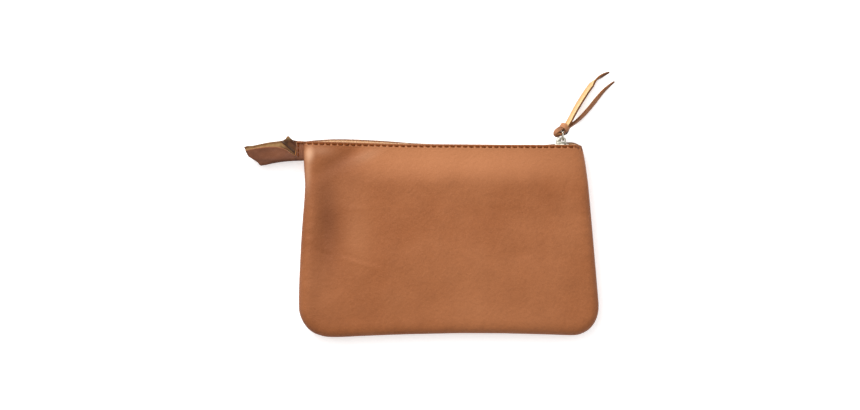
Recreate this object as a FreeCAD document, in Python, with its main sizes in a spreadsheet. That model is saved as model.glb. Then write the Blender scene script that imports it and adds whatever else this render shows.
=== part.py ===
import FreeCAD, Part
import math
import os

from FreeCAD import Vector, Placement, Rotation

# A small leather zip pouch, lying on its back.
# Origin on the resting face, +X along the zip towards its closed end,
# +Y towards the mouth, +Z out through the front panel.  Millimetres.

doc = FreeCAD.newDocument("ZipPouch")
sheet = doc.addObject("Spreadsheet::Sheet", "Sizes")
CELLS = [
    # leather shell
    ("seam_z", 8.0), ("belly", 8.0), ("leather", 1.3),
    ("mouth_y", 57.8), ("left_top_x", -88.3), ("right_top_x", 78.8),
    ("left_low_x", -89.5), ("left_low_y", -60.1),
    ("right_low_x", 92.0), ("right_low_y", -55.8),
    ("corner_left", 18.0), ("corner_right", 16.0), ("edge_round", 6.4),
    ("slope_y", 42.0), ("land_y", 53.5), ("lip_out", 6.3),
    ("allowance", 5.0), ("tail_slot_y", 46.0), ("tail_slot_z", 1.4),
    ("tail_slot_x", -81.0),
    # zip
    ("tape_thick", 0.6), ("tape_low_y", 47.9), ("tape_top_y", 56.9), ("chain_y", 55.7),
    ("tape_right_x", 76.0), ("tape_left_x", -93.2), ("tape_turn_x", -77.0),
    ("tape_join_x", -86.8), ("bead_z", 1.25), ("bead_half", 0.55),
    ("spread_from_x", 64.5), ("spread_to_x", 68.0), ("spread", 1.25),
    ("pitch", 2.0), ("chain_left_x", -73.0), ("tooth_count", 72),
    ("tooth_wide", 1.2), ("tooth_high", 2.2), ("tooth_out", 2.1),
    ("tooth_in", 0.35), ("head_wide", 0.86), ("head_high", 1.5),
    ("head_reach", 0.65), ("groove_half", 0.58), ("groove_slot", 0.32),
    ("stop_x", 71.3), ("stop_long", 2.2), ("end_stop_x", -76.6),
    ("end_stop_long", 2.4),
    # slider
    ("slider_x", 66.5), ("slider_long", 8.8), ("slider_nose", 4.1),
    ("slider_tail", 3.4), ("slider_wall", 0.5), ("plate", 1.0),
    ("channel_high", 2.6), ("gap_high", 1.0), ("post_x", 68.2),
    ("post_long", 2.2), ("post_wide", 1.1),
    ("bail_long", 6.0), ("bail_wide", 1.6), ("bail_top", 61.9),
    ("bail_hole_long", 4.0), ("bail_hole_high", 1.6), ("bail_foot", 1.3),
    # pull ring
    ("ring_wire", 1.1), ("ring_wide", 6.5), ("ring_long", 5.4),
    ("ring_corner", 1.5), ("ring_x", 67.6), ("ring_y", 60.1),
    ("ring_angle", 95.0),
    # lace
    ("lace_round", 2.3), ("hitch_wide", 4.6), ("hitch_eye", 1.95),
    ("hitch_knot", 2.4), ("hitch_hole", 0.7),
    ("knot_x", 67.8), ("knot_y", 67.5),
    # tab
    ("tab_gap", 1.3),
    # stitches
    ("stitch_pitch", 3.72), ("stitch_long", 2.9), ("stitch_wide", 0.65),
    ("stitch_high", 0.45), ("stitch_y", 56.2), ("stitch_left_x", -85.6),
    ("stitch_count", 43), ("tab_seam_x", -92.2), ("tab_seam_count", 3),
    ("seam_inset", 4.3), ("seam_wide", 0.5), ("seam_high", 0.4),
]
for i, (alias, value) in enumerate(CELLS, start=1):
    sheet.set(f"A{i}", alias)
    sheet.set(f"B{i}", str(value))
    sheet.setAlias(f"B{i}", alias)
doc.recompute()


def S(name):
    return float(sheet.get(name))


def E(text):
    """An expression over the sheet: every known alias becomes Sizes.alias."""
    out, word = "", ""
    names = {a for a, _ in CELLS}
    for ch in text + " ":
        if ch.isalnum() or ch == "_":
            word += ch
            continue
        out += f"Sizes.{word}" if word in names else word
        word = ""
        out += ch
    return out.strip()


def value(text):
    """The number that an expression over the sheet gives."""
    table = {a: S(a) for a, _ in CELLS}
    total, sign = 0.0, 1.0
    text = text.replace("- -1 *", "+ 1 *").replace("+ -1 *", "- 1 *")
    for term in text.replace("-", "+-").split("+"):
        term = term.strip()
        if not term:
            continue
        sign = 1.0
        if term.startswith("-"):
            sign, term = -1.0, term[1:].strip()
        product = 1.0
        for factor in term.split("*"):
            factor = factor.strip()
            product *= table[factor] if factor in table else float(factor)
        total += sign * product
    return total


def origin_plane(body, role):
    for feature in body.Origin.OriginFeatures:
        if feature.Role == role:
            return feature
    raise RuntimeError(role)


def add_polygon(sketch, points):
    """A closed polygon whose corners are fixed by expressions."""
    xy = [(value(a), value(b)) for a, b in points]
    n = len(xy)
    for i in range(n):
        a, b = xy[i], xy[(i + 1) % n]
        sketch.addGeometry(
            Part.LineSegment(Vector(a[0], a[1], 0), Vector(b[0], b[1], 0)), False
        )
    import Sketcher

    for i in range(n):
        sketch.addConstraint(
            Sketcher.Constraint("Coincident", i, 2, (i + 1) % n, 1)
        )
    for i, (ex, ey) in enumerate(points):
        cx = sketch.addConstraint(
            Sketcher.Constraint("DistanceX", -1, 1, i, 1, xy[i][0])
        )
        cy = sketch.addConstraint(
            Sketcher.Constraint("DistanceY", -1, 1, i, 1, xy[i][1])
        )
        sketch.setExpression(f"Constraints[{cx}]", E(ex))
        sketch.setExpression(f"Constraints[{cy}]", E(ey))


def padded(name, points, low, high, role="XY_Plane"):
    """A body padded from a polygon; low and high are along the plane's normal.

    On the XZ plane the sketch's second axis is Z and its normal is -Y.
    """
    body = doc.addObject("PartDesign::Body", name)
    sketch = body.newObject("Sketcher::SketchObject", name + "_outline")
    sketch.AttachmentSupport = (origin_plane(body, role), [""])
    sketch.MapMode = "FlatFace"
    add_polygon(sketch, points)
    if role == "XZ_Plane":
        sketch.setExpression("AttachmentOffset.Base.z", E("-1 * (" + high + ")"))
    else:
        sketch.setExpression("AttachmentOffset.Base.z", E(low))
    pad = body.newObject("PartDesign::Pad", name + "_pad")
    pad.Profile = sketch
    pad.setExpression("Length", E("(" + high + ") - (" + low + ")"))
    doc.recompute()
    return body


def upright_edges(shape, corners, reach=3.0):
    """Names of the upright edges that stand at the given x, y corners."""
    names = []
    for i, edge in enumerate(shape.Edges, start=1):
        a, b = edge.Vertexes[0].Point, edge.Vertexes[-1].Point
        if math.hypot(a.x - b.x, a.y - b.y) > 1e-6:
            continue
        for cx, cy in corners:
            if math.hypot(a.x - cx, a.y - cy) < reach:
                names.append(f"Edge{i}")
    return names


def outline(inset, top):
    """The pouch's outline in plan, drawn in by an inset."""
    return [
        (f"left_top_x + {inset}", top),
        (f"left_low_x + {inset}", f"left_low_y + {inset}"),
        (f"right_low_x - 1.01 * {inset}", f"right_low_y + {inset}"),
        (f"right_top_x - 1.01 * {inset}", top),
    ]


def dish(name, inset, low, high, top, fall, rounding, thin):
    """A shallow dish: rounded plan corners, a mouth that slopes to the lips,
    and a rounded rim on the two sides and the bottom."""
    body = padded(name, outline(inset, top), low, high)
    xs = [value(f"left_low_x + {inset}"), value(f"right_low_x - 1.01 * {inset}")]
    ys = [value(f"left_low_y + {inset}"), value(f"right_low_y + {inset}")]
    for side, radius in ((0, "corner_left"), (1, "corner_right")):
        fillet = body.newObject("PartDesign::Fillet", f"{name}_corner{side}")
        base = body.Group[-2] if body.Group[-1] is fillet else body.Tip
        names = upright_edges(base.Shape, [(xs[side], ys[side])])
        fillet.Base = (base, names)
        fillet.setExpression("Radius", E(f"{radius} - {thin}"))
        doc.recompute()
    # the mouth's slope, cut across the whole width
    cut = body.newObject("Sketcher::SketchObject", name + "_fall")
    cut.AttachmentSupport = (origin_plane(body, "YZ_Plane"), [""])
    cut.MapMode = "FlatFace"
    add_polygon(cut, [
        ("slope_y", f"seam_z + belly - {fall}"),
        ("land_y", f"seam_z + lip_out - {fall}"),
        ("mouth_y + 20", f"seam_z + lip_out - {fall}"),
        ("mouth_y + 20", "seam_z + belly + 5"),
        ("slope_y", "seam_z + belly + 5"),
    ])
    pocket = body.newObject("PartDesign::Pocket", name + "_mouth")
    pocket.Profile = cut
    pocket.Type = 1
    pocket.Midplane = True
    before = body.Group[-3].Shape.Volume
    doc.recompute()
    if not pocket.Shape.Volume < before:
        raise RuntimeError("the mouth's slope cut nothing")
    # the rounded rim
    rim = []
    top_z = value(f"seam_z + belly - {fall}")
    shape = pocket.Shape
    for i, edge in enumerate(shape.Edges, start=1):
        box = edge.BoundBox
        if abs(box.ZMin - top_z) < 1e-4 and abs(box.ZMax - top_z) < 1e-4:
            if box.YMin < value("slope_y") - 1.0:
                rim.append(f"Edge{i}")
    fillet = body.newObject("PartDesign::Fillet", name + "_rim")
    fillet.Base = (pocket, rim)
    fillet.setExpression("Radius", E(rounding))
    doc.recompute()
    return body


def cut(name, base, tool):
    obj = doc.addObject("Part::Cut", name)
    obj.Base, obj.Tool = base, tool
    doc.recompute()
    return obj


def fuse(name, shapes):
    obj = doc.addObject("Part::MultiFuse", name)
    obj.Shapes = shapes
    doc.recompute()
    return obj


def box(name, x0, x1, y0, y1, z0, z1):
    obj = doc.addObject("Part::Box", name)
    for axis, lo, hi, side in (("x", x0, x1, "Length"), ("y", y0, y1, "Width"), ("z", z0, z1, "Height")):
        obj.setExpression(f"Placement.Base.{axis}", E(lo))
        obj.setExpression(side, E(f"({hi}) - ({lo})"))
    doc.recompute()
    return obj


nodes = {}

# ---- leather shell -------------------------------------------------------
outer = dish("shell_outer", "0 * leather", "seam_z", "seam_z + belly", "mouth_y", "0 * leather", "edge_round", "0 * leather")
inner = dish("shell_inner", "leather", "seam_z + leather", "seam_z + belly - leather", "mouth_y + 8", "leather", "edge_round - leather", "leather")
well_name = "leather + allowance"
well = padded("seam_well", [
    ("left_top_x + leather + allowance", "mouth_y + 8"),
    ("left_low_x + leather + allowance", "left_low_y + leather + allowance"),
    ("right_low_x - leather - allowance", "right_low_y + leather + allowance"),
    ("right_top_x - leather - allowance", "mouth_y + 8"),
], "seam_z - 1", "seam_z + leather + 0.5")
fil = well.newObject("PartDesign::Fillet", "seam_well_corners")
fil.Base = (well.Group[-2], upright_edges(well.Group[-2].Shape, [
    (value("left_low_x + leather + allowance"), value("left_low_y + leather + allowance")),
    (value("right_low_x - leather - allowance"), value("right_low_y + leather + allowance")),
]))
fil.setExpression("Radius", E("corner_right - leather - allowance"))
doc.recompute()
slot = box("tail_slot", "left_top_x - 5", "tail_slot_x", "tail_slot_y", "mouth_y + 8", "seam_z - 1", "seam_z + tail_slot_z")
hollow = fuse("shell_hollow", [inner, well, slot])
front = cut("front_panel", outer, hollow)
back = doc.addObject("Part::Mirroring", "back_panel")
back.Source = front
back.Normal = Vector(0, 0, 1)
back.setExpression("Base.z", E("seam_z"))
doc.recompute()
nodes["front_panel"] = front
nodes["back_panel"] = back

# ---- thread that sews the two panels together, laid on the seam allowance --
nodes["seam_thread"] = padded("seam_thread", [
    ("left_top_x + seam_inset", "tail_slot_y - 3"),
    ("left_low_x + seam_inset", "left_low_y + corner_left + 1"),
    ("left_low_x + seam_inset + 0.29 * corner_left", "left_low_y + seam_inset + 0.29 * corner_left"),
    ("left_low_x + corner_left + 1", "left_low_y + seam_inset + 0.3"),
    ("right_low_x - corner_right - 1", "right_low_y + seam_inset"),
    ("right_low_x - seam_inset - 0.29 * corner_right", "right_low_y + seam_inset + 0.29 * corner_right"),
    ("right_low_x - seam_inset - 1.6", "right_low_y + corner_right + 1"),
    ("right_top_x - seam_inset + 0.2", "mouth_y - 5"),
    ("right_top_x - seam_inset + 0.2 - seam_wide", "mouth_y - 5"),
    ("right_low_x - seam_inset - 1.6 - seam_wide", "right_low_y + corner_right + 1"),
    ("right_low_x - seam_inset - 0.29 * corner_right - 0.7 * seam_wide", "right_low_y + seam_inset + 0.29 * corner_right + 0.7 * seam_wide"),
    ("right_low_x - corner_right - 1", "right_low_y + seam_inset + seam_wide"),
    ("left_low_x + corner_left + 1", "left_low_y + seam_inset + 0.3 + seam_wide"),
    ("left_low_x + seam_inset + 0.29 * corner_left + 0.7 * seam_wide", "left_low_y + seam_inset + 0.29 * corner_left + 0.7 * seam_wide"),
    ("left_low_x + seam_inset + seam_wide", "left_low_y + corner_left + 1"),
    ("left_top_x + seam_inset + seam_wide", "tail_slot_y - 3"),
], "seam_z + leather", "seam_z + leather + seam_high")

# ---- zip tapes: a flange sewn inside the lip, a web across to the bead -----
def tape(name, side):
    k = f"{side} * "
    z = lambda text: f"seam_z + {k}{text}"
    flange = padded(name + "_flange", [
        ("tape_right_x", z("4.4")), ("tape_right_x", z("5.0")),
        ("tape_turn_x", z("5.0")), ("tape_join_x", z("0.65")),
        ("tape_left_x", z("0.65")), ("tape_left_x", z("0.05")),
        ("tape_join_x - 0.2", z("0.05")), ("tape_turn_x - 0.2", z("4.4")),
    ], "tape_low_y", "tape_top_y", "XZ_Plane")
    web = padded(name + "_web", [
        ("tape_right_x", z("4.5")), ("tape_turn_x", z("4.5")),
        ("tape_turn_x", z("bead_z")),
        ("spread_from_x", z("bead_z")),
        ("spread_to_x", f"seam_z + {side} * bead_z + {side} * spread"),
        ("tape_right_x", f"seam_z + {side} * bead_z + {side} * spread"),
    ], "chain_y - 0.3", "chain_y + 0.3", "XZ_Plane")
    bead = padded(name + "_bead", [
        ("tape_turn_x", f"seam_z + {side} * bead_z + {side} * bead_half"),
        ("spread_from_x", f"seam_z + {side} * bead_z + {side} * bead_half"),
        ("spread_to_x", f"seam_z + {side} * bead_z + {side} * spread + {side} * bead_half"),
        ("tape_right_x", f"seam_z + {side} * bead_z + {side} * spread + {side} * bead_half"),
        ("tape_right_x", f"seam_z + {side} * bead_z + {side} * spread - {side} * bead_half"),
        ("spread_to_x", f"seam_z + {side} * bead_z + {side} * spread - {side} * bead_half"),
        ("spread_from_x", f"seam_z + {side} * bead_z - {side} * bead_half"),
        ("tape_turn_x", f"seam_z + {side} * bead_z - {side} * bead_half"),
    ], "chain_y - bead_half", "chain_y + bead_half", "XZ_Plane")
    return fuse(name, [flange, web, bead])


nodes["front_zip_tape"] = tape("front_zip_tape", "1")
nodes["back_zip_tape"] = tape("back_zip_tape", "-1")


# ---- teeth: one row clamped on each bead, the two rows half a pitch apart ---
def spread_at(x):
    part = (x - S("spread_from_x")) / (S("spread_to_x") - S("spread_from_x"))
    return S("spread") * min(1.0, max(0.0, part))


def tooth_shape(x, side, lift):
    zm, yc = S("seam_z"), S("chain_y")
    lo, hi = S("tooth_in"), S("tooth_out")

    def slab(wide, high, za, zb):
        a, b = zm + side * (za + lift), zm + side * (zb + lift)
        return Part.makeBox(wide, high, abs(b - a), Vector(x - wide / 2, yc - high / 2, min(a, b)))

    body_ = slab(S("tooth_wide"), S("tooth_high"), lo, hi)
    head = slab(S("head_wide"), S("head_high"), lo - S("head_reach"), lo + 0.2)
    groove = slab(S("tooth_wide") + 1, 2 * S("groove_half"), S("bead_z") - S("groove_half"), S("bead_z") + S("groove_half"))
    gap = slab(S("tooth_wide") + 1, 2 * S("groove_slot"), S("bead_z"), hi + 1)
    return body_.fuse(head).cut(groove.fuse(gap)).removeSplitter()


def teeth(name, side, start, tape_obj):
    solids = []
    for i in range(int(S("tooth_count"))):
        x = start + i * S("pitch")
        if x > S("stop_x") - 0.8:
            break
        shape = tooth_shape(x, side, spread_at(x))
        if S("spread_from_x") - 0.7 < x < S("spread_to_x") + 0.7:
            shape = shape.cut(tape_obj.Shape)
        solids.extend(s for s in shape.Solids if s.Volume > 0.3)
    obj = doc.addObject("Part::Feature", name)
    obj.Shape = Part.makeCompound(solids)
    return obj


nodes["front_teeth"] = teeth("front_teeth", 1, S("chain_left_x"), nodes["front_zip_tape"])
nodes["back_teeth"] = teeth("back_teeth", -1, S("chain_left_x") + S("pitch") / 2, nodes["back_zip_tape"])


# ---- stops -----------------------------------------------------------------
def top_stop(name, side):
    def zz(text):
        return f"seam_z + {side} * bead_z + {side} * spread + {side} * {text}"
    a, b = (zz("0.95"), zz("-0.95")) if side == "-1" else (zz("-0.95"), zz("0.95"))
    if side == "-1":
        a, b = f"seam_z - bead_z - spread - 0.95", "seam_z - bead_z - spread + 0.95"
        c, d = "seam_z - bead_z - spread - bead_half", "seam_z - bead_z - spread + bead_half"
        e, f = "seam_z - bead_z - spread - 1.5", "seam_z - bead_z - spread"
    else:
        a, b = "seam_z + bead_z + spread - 0.95", "seam_z + bead_z + spread + 0.95"
        c, d = "seam_z + bead_z + spread - bead_half", "seam_z + bead_z + spread + bead_half"
        e, f = "seam_z + bead_z + spread", "seam_z + bead_z + spread + 1.5"
    block = box(name + "_block", "stop_x", "stop_x + stop_long", "chain_y - 1.05", "chain_y + 1.05", a, b)
    hole = box(name + "_hole", "stop_x - 1", "stop_x + stop_long + 1", "chain_y - bead_half", "chain_y + bead_half", c, d)
    thin = box(name + "_slit", "stop_x - 1", "stop_x + stop_long + 1", "chain_y - 0.3", "chain_y + 0.3", e, f)
    return cut(name, block, fuse(name + "_way", [hole, thin]))


nodes["top_stop_front"] = top_stop("top_stop_front", "1")
nodes["top_stop_back"] = top_stop("top_stop_back", "-1")

end_block = box("end_stop_block", "end_stop_x", "end_stop_x + end_stop_long", "chain_y - 1.15", "chain_y + 1.15", "seam_z - 2.2", "seam_z + 2.2")
end_a = box("end_stop_bead_a", "end_stop_x - 1", "end_stop_x + end_stop_long + 1", "chain_y - bead_half", "chain_y + bead_half", "seam_z + bead_z - bead_half", "seam_z + bead_z + bead_half")
end_b = box("end_stop_bead_b", "end_stop_x - 1", "end_stop_x + end_stop_long + 1", "chain_y - bead_half", "chain_y + bead_half", "seam_z - bead_z - bead_half", "seam_z - bead_z + bead_half")
end_c = box("end_stop_slit_a", "end_stop_x - 1", "end_stop_x + end_stop_long + 1", "chain_y - 0.3", "chain_y + 0.3", "seam_z + bead_z", "seam_z + 4")
end_d = box("end_stop_slit_b", "end_stop_x - 1", "end_stop_x + end_stop_long + 1", "chain_y - 0.3", "chain_y + 0.3", "seam_z - 4", "seam_z - bead_z")
nodes["bottom_stop"] = cut("bottom_stop", end_block, fuse("end_stop_way", [end_a, end_b, end_c, end_d]))

# ---- slider: two plates joined by a wedge-shaped post, with a bail on top ----
low_y = "chain_y - 0.5 * channel_high - plate"
high_y = "chain_y + 0.5 * channel_high + plate"
block = padded("slider_block", [
    ("slider_x - 0.5 * slider_long", "seam_z - slider_tail"),
    ("slider_x + 0.15 * slider_long", "seam_z - slider_nose"),
    ("slider_x + 0.5 * slider_long", "seam_z - slider_nose + 0.7"),
    ("slider_x + 0.5 * slider_long", "seam_z + slider_nose - 0.7"),
    ("slider_x + 0.15 * slider_long", "seam_z + slider_nose"),
    ("slider_x - 0.5 * slider_long", "seam_z + slider_tail"),
], low_y, high_y, "XZ_Plane")
channel = padded("slider_channel", [
    ("slider_x - 0.5 * slider_long - 1", "seam_z - slider_tail + slider_wall"),
    ("slider_x + 0.15 * slider_long", "seam_z - slider_nose + slider_wall"),
    ("slider_x + 0.5 * slider_long + 1", "seam_z - slider_nose + slider_wall"),
    ("slider_x + 0.5 * slider_long + 1", "seam_z + slider_nose - slider_wall"),
    ("slider_x + 0.15 * slider_long", "seam_z + slider_nose - slider_wall"),
    ("slider_x - 0.5 * slider_long - 1", "seam_z + slider_tail - slider_wall"),
], "chain_y - 0.5 * channel_high", "chain_y + 0.5 * channel_high", "XZ_Plane")
gap = box("slider_gap", "slider_x - slider_long", "slider_x + slider_long", "chain_y - 0.5 * gap_high", "chain_y + 0.5 * gap_high", "seam_z - slider_nose - 1", "seam_z + slider_nose + 1")
plates = cut("slider_plates", block, fuse("slider_way", [channel, gap]))
post = padded("slider_post", [
    ("post_x", "seam_z - 0.15"), ("post_x", "seam_z + 0.15"),
    ("post_x + 0.7 * post_long", "seam_z + 0.5 * post_wide"),
    ("post_x + post_long", "seam_z + 0.5 * post_wide"),
    ("post_x + post_long", "seam_z - 0.5 * post_wide"),
    ("post_x + 0.7 * post_long", "seam_z - 0.5 * post_wide"),
], "chain_y - 0.5 * channel_high - 0.3", "chain_y + 0.5 * channel_high + 0.3", "XZ_Plane")
bail_block = padded("bail_block", [
    ("slider_x - 0.5 * bail_long", high_y + " - 0.2"),
    ("slider_x + 0.5 * bail_long", high_y + " - 0.2"),
    ("slider_x + 0.5 * bail_long", "bail_top - 1.2"),
    ("slider_x + 0.5 * bail_long - 1.2", "bail_top"),
    ("slider_x - 0.5 * bail_long + 1.2", "bail_top"),
    ("slider_x - 0.5 * bail_long", "bail_top - 1.2"),
], "seam_z - 0.5 * bail_wide", "seam_z + 0.5 * bail_wide")
bail_hole = box("bail_hole", "slider_x - 0.5 * bail_hole_long", "slider_x + 0.5 * bail_hole_long", high_y + " + bail_foot", high_y + " + bail_foot + bail_hole_high", "seam_z - bail_wide", "seam_z + bail_wide")
bail = cut("bail", bail_block, bail_hole)
nodes["slider_body"] = fuse("slider_body", [plates, post, bail])

# ---- pull ring: a wire link through the bail, its near and far bars along Z --
import Sketcher

ring_path = doc.addObject("Sketcher::SketchObject", "ring_path")
ring_path.Placement = Placement(Vector(0, 0, 0), Rotation(Vector(1, 0, 0), 90))
L, W, C = S("ring_long"), S("ring_wide") / 2, S("ring_corner")
lines = [((C, -W), (L - C, -W)), ((L, -W + C), (L, W - C)), ((L - C, W), (C, W)), ((0, W - C), (0, -W + C))]
for a, b in lines:
    ring_path.addGeometry(Part.LineSegment(Vector(a[0], a[1], 0), Vector(b[0], b[1], 0)), False)
centres = [(L - C, -W + C, -90), (L - C, W - C, 0), (C, W - C, 90), (C, -W + C, 180)]
for cx, cy, start in centres:
    ring_path.addGeometry(Part.ArcOfCircle(Part.Circle(Vector(cx, cy, 0), Vector(0, 0, 1), C), math.radians(start), math.radians(start + 90)), False)
for i in range(4):
    ring_path.addConstraint(Sketcher.Constraint("Tangent", i, 2, 4 + i, 1))
    ring_path.addConstraint(Sketcher.Constraint("Tangent", 4 + i, 2, (i + 1) % 4, 1))
ring_path.addConstraint(Sketcher.Constraint("Horizontal", 0))
ring_path.addConstraint(Sketcher.Constraint("Vertical", 1))
for i in range(1, 4):
    ring_path.addConstraint(Sketcher.Constraint("Equal", 4, 4 + i))
c = ring_path.addConstraint(Sketcher.Constraint("Radius", 4, C))
ring_path.setExpression(f"Constraints[{c}]", E("ring_corner"))
c = ring_path.addConstraint(Sketcher.Constraint("DistanceX", -1, 1, 1, 1, L))
ring_path.setExpression(f"Constraints[{c}]", E("ring_long"))
c = ring_path.addConstraint(Sketcher.Constraint("DistanceX", -1, 1, 0, 1, C))
ring_path.setExpression(f"Constraints[{c}]", E("ring_corner"))
c = ring_path.addConstraint(Sketcher.Constraint("DistanceY", 0, 1, -1, 1, W))
ring_path.setExpression(f"Constraints[{c}]", E("0.5 * ring_wide"))
c = ring_path.addConstraint(Sketcher.Constraint("DistanceY", -1, 1, 2, 1, W))
ring_path.setExpression(f"Constraints[{c}]", E("0.5 * ring_wide"))
ring_round = doc.addObject("Sketcher::SketchObject", "ring_section")
ring_round.Placement = Placement(Vector(0, 0, 0), Rotation())
ring_round.addGeometry(Part.Circle(Vector(0, 0, 0), Vector(0, 0, 1), S("ring_wire") / 2), False)
ring_round.addConstraint(Sketcher.Constraint("Coincident", 0, 3, -1, 1))
c = ring_round.addConstraint(Sketcher.Constraint("Diameter", 0, S("ring_wire")))
ring_round.setExpression(f"Constraints[{c}]", E("ring_wire"))
doc.recompute()
ring = doc.addObject("Part::Sweep", "pull_ring")
ring.Sections = [ring_round]
ring.Spine = (ring_path, [f"Edge{i}" for i in range(1, 9)])
ring.Solid = True
ring.Frenet = False
ring.Placement = Placement(Vector(S("ring_x"), S("ring_y"), S("seam_z")), Rotation(Vector(0, 0, 1), S("ring_angle")))
ring.setExpression("Placement.Base.x", E("ring_x"))
ring.setExpression("Placement.Base.y", E("ring_y"))
ring.setExpression("Placement.Base.z", E("seam_z"))
doc.recompute()
nodes["pull_ring"] = ring

# ---- lace: a hitch about the ring's far bar and two loose tails ---------------
angle = math.radians(S("ring_angle"))
far = Vector(S("ring_x") + S("ring_long") * math.cos(angle), S("ring_y") + S("ring_long") * math.sin(angle), 0)


def drum(name, x, y, radius, low, high):
    obj = doc.addObject("Part::Cylinder", name)
    obj.setExpression("Radius", E(radius))
    obj.setExpression("Height", E(f"({high}) - ({low})"))
    obj.setExpression("Placement.Base.x", E(x))
    obj.setExpression("Placement.Base.y", E(y))
    obj.setExpression("Placement.Base.z", E(low))
    doc.recompute()
    return obj


far_x = "ring_x + ring_long * cos(ring_angle * 1deg)"
far_y = "ring_y + ring_long * sin(ring_angle * 1deg)"
z_low, z_high = "seam_z - 0.5 * hitch_wide", "seam_z + 0.5 * hitch_wide"
eye = drum("hitch_eye_drum", far_x, far_y, "hitch_eye", z_low, z_high)
knot = drum("hitch_knot_drum", "knot_x", "knot_y", "hitch_knot", z_low, z_high)
hitch_all = fuse("hitch_all", [eye, knot])
hole = drum("hitch_hole_drum", far_x, far_y, "hitch_hole", z_low + " - 1", z_high + " + 1")
nodes["lace_hitch"] = cut("lace_hitch", hitch_all, hole)

LONG_TAIL = [(69.0, 67.6, 9.2), (71.4, 71.6, 8.3), (74.6, 77.9, 5.0), (78.9, 85.2, 2.4), (83.4, 92.3, 1.8), (88.6, 98.7, 1.6), (95.3, 101.7, 1.9)]
SHORT_TAIL = [(69.4, 66.9, 6.6), (72.8, 69.4, 5.4), (78.0, 73.5, 3.2), (83.3, 79.4, 1.9), (88.3, 85.9, 1.5), (93.2, 92.0, 1.6), (98.5, 96.1, 1.8)]


def tube(name, points, diameter, tool):
    """A round tube along straight runs joined by tangent arcs."""
    pts = [Vector(*p) for p in points]
    runs = [(pts[i + 1] - pts[i]).Length for i in range(len(pts) - 1)]
    edges, here, radii = [], pts[0], []
    for i in range(1, len(pts) - 1):
        a = (pts[i] - pts[i - 1]).normalize()
        b = (pts[i + 1] - pts[i]).normalize()
        turn = math.acos(max(-1.0, min(1.0, a.dot(b))))
        short = 0.45 * min(runs[i - 1], runs[i])
        radii.append(short / math.tan(turn / 2))
        p, q = pts[i] - a * short, pts[i] + b * short
        bis = (b - a).normalize()
        r = radii[-1]
        centre = p + (bis - a * bis.dot(a)).normalize() * r
        mid = centre + (pts[i] - centre).normalize() * r
        edges.append(Part.LineSegment(here, p).toShape())
        edges.append(Part.Arc(p, mid, q).toShape())
        here = q
    edges.append(Part.LineSegment(here, pts[-1]).toShape())
    path = Part.Wire(edges)
    profile = Part.Wire([Part.makeCircle(diameter / 2, pts[0], (pts[1] - pts[0]))])
    solid = path.makePipeShell([profile], True, False)
    expect = math.pi * diameter ** 2 / 4 * path.Length
    print(f"{name}: path {path.Length:.1f} mm, radii {min(radii):.1f} to {max(radii):.1f} mm, runs " + ", ".join(f"{r:.1f}" for r in runs) + f", volume {solid.Volume:.1f} against {expect:.1f}")
    trimmed = solid.cut(tool)
    trimmed = max(trimmed.Solids, key=lambda s: s.Volume)
    obj = doc.addObject("Part::Feature", name)
    obj.Shape = trimmed
    return obj


nodes["lace_tail_long"] = tube("lace_tail_long", LONG_TAIL, S("lace_round"), hitch_all.Shape)
nodes["lace_tail_short"] = tube("lace_tail_short", SHORT_TAIL, S("lace_round"), hitch_all.Shape)

# ---- folded tab on the zip's tail: the fold is along the bottom ---------------
fold = [("-88.9", "46.2"), ("-102.2", "45.6"), ("-113.3", "43.0"), ("-117.8", "45.6"), ("-121.5", "48.0"), ("-123.3", "50.6")]
back_top = [("-123.9", "53.6"), ("-121.8", "54.2"), ("-111.8", "55.9"), ("-103.4", "57.3"), ("-99.5", "57.8"), ("-97.5", "60.5"), ("-95.3", "58.2"), ("-88.9", "57.4")]
front_top = [("-122.6", "51.2"), ("-116.8", "52.1"), ("-112.7", "53.2"), ("-107.5", "53.6"), ("-102.1", "54.0"), ("-99.5", "56.2"), ("-95.3", "57.4"), ("-88.9", "57.2")]
mid_low = "seam_z - 0.5 * tab_gap"
mid_high = "seam_z + 0.5 * tab_gap"
leaf_back = padded("tab_leaf_back", fold + back_top, "seam_z - 0.5 * tab_gap - leather", mid_low)
leaf_front = padded("tab_leaf_front", fold + front_top, mid_high, "seam_z + 0.5 * tab_gap + leather")
ridge = padded("tab_fold", fold + [("-122.2", "51.0"), ("-120.7", "49.1"), ("-117.1", "46.8"), ("-113.1", "44.4"), ("-102.1", "46.9"), ("-88.9", "47.5")], mid_low, mid_high)
# the tails of the two tapes run between the leaves, just above the fold
nodes["zip_tab"] = fuse("zip_tab", [leaf_back, leaf_front, ridge])


# ---- stitches -----------------------------------------------------------------
def stitch_row(name, x0, y0, z0, long_, wide, high, axis, length, count):
    body = doc.addObject("PartDesign::Body", name)
    body.AllowCompound = True
    sk = body.newObject("Sketcher::SketchObject", name + "_one")
    sk.AttachmentSupport = (origin_plane(body, "XY_Plane"), [""])
    sk.MapMode = "FlatFace"
    sk.setExpression("AttachmentOffset.Base.z", E(z0))
    add_polygon(sk, [(x0, y0), (f"{x0} + {long_}", y0), (f"{x0} + {long_}", f"{y0} + {wide}"), (x0, f"{y0} + {wide}")])
    pad = body.newObject("PartDesign::Pad", name + "_pad")
    pad.Profile = sk
    pad.setExpression("Length", E(high))
    doc.recompute()
    pattern = body.newObject("PartDesign::LinearPattern", name + "_row")
    pattern.Originals = [pad]
    pattern.Direction = (sk, [axis])
    pattern.setExpression("Length", E(length))
    pattern.setExpression("Occurrences", E(count))
    body.Tip = pattern
    doc.recompute()
    return body


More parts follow.
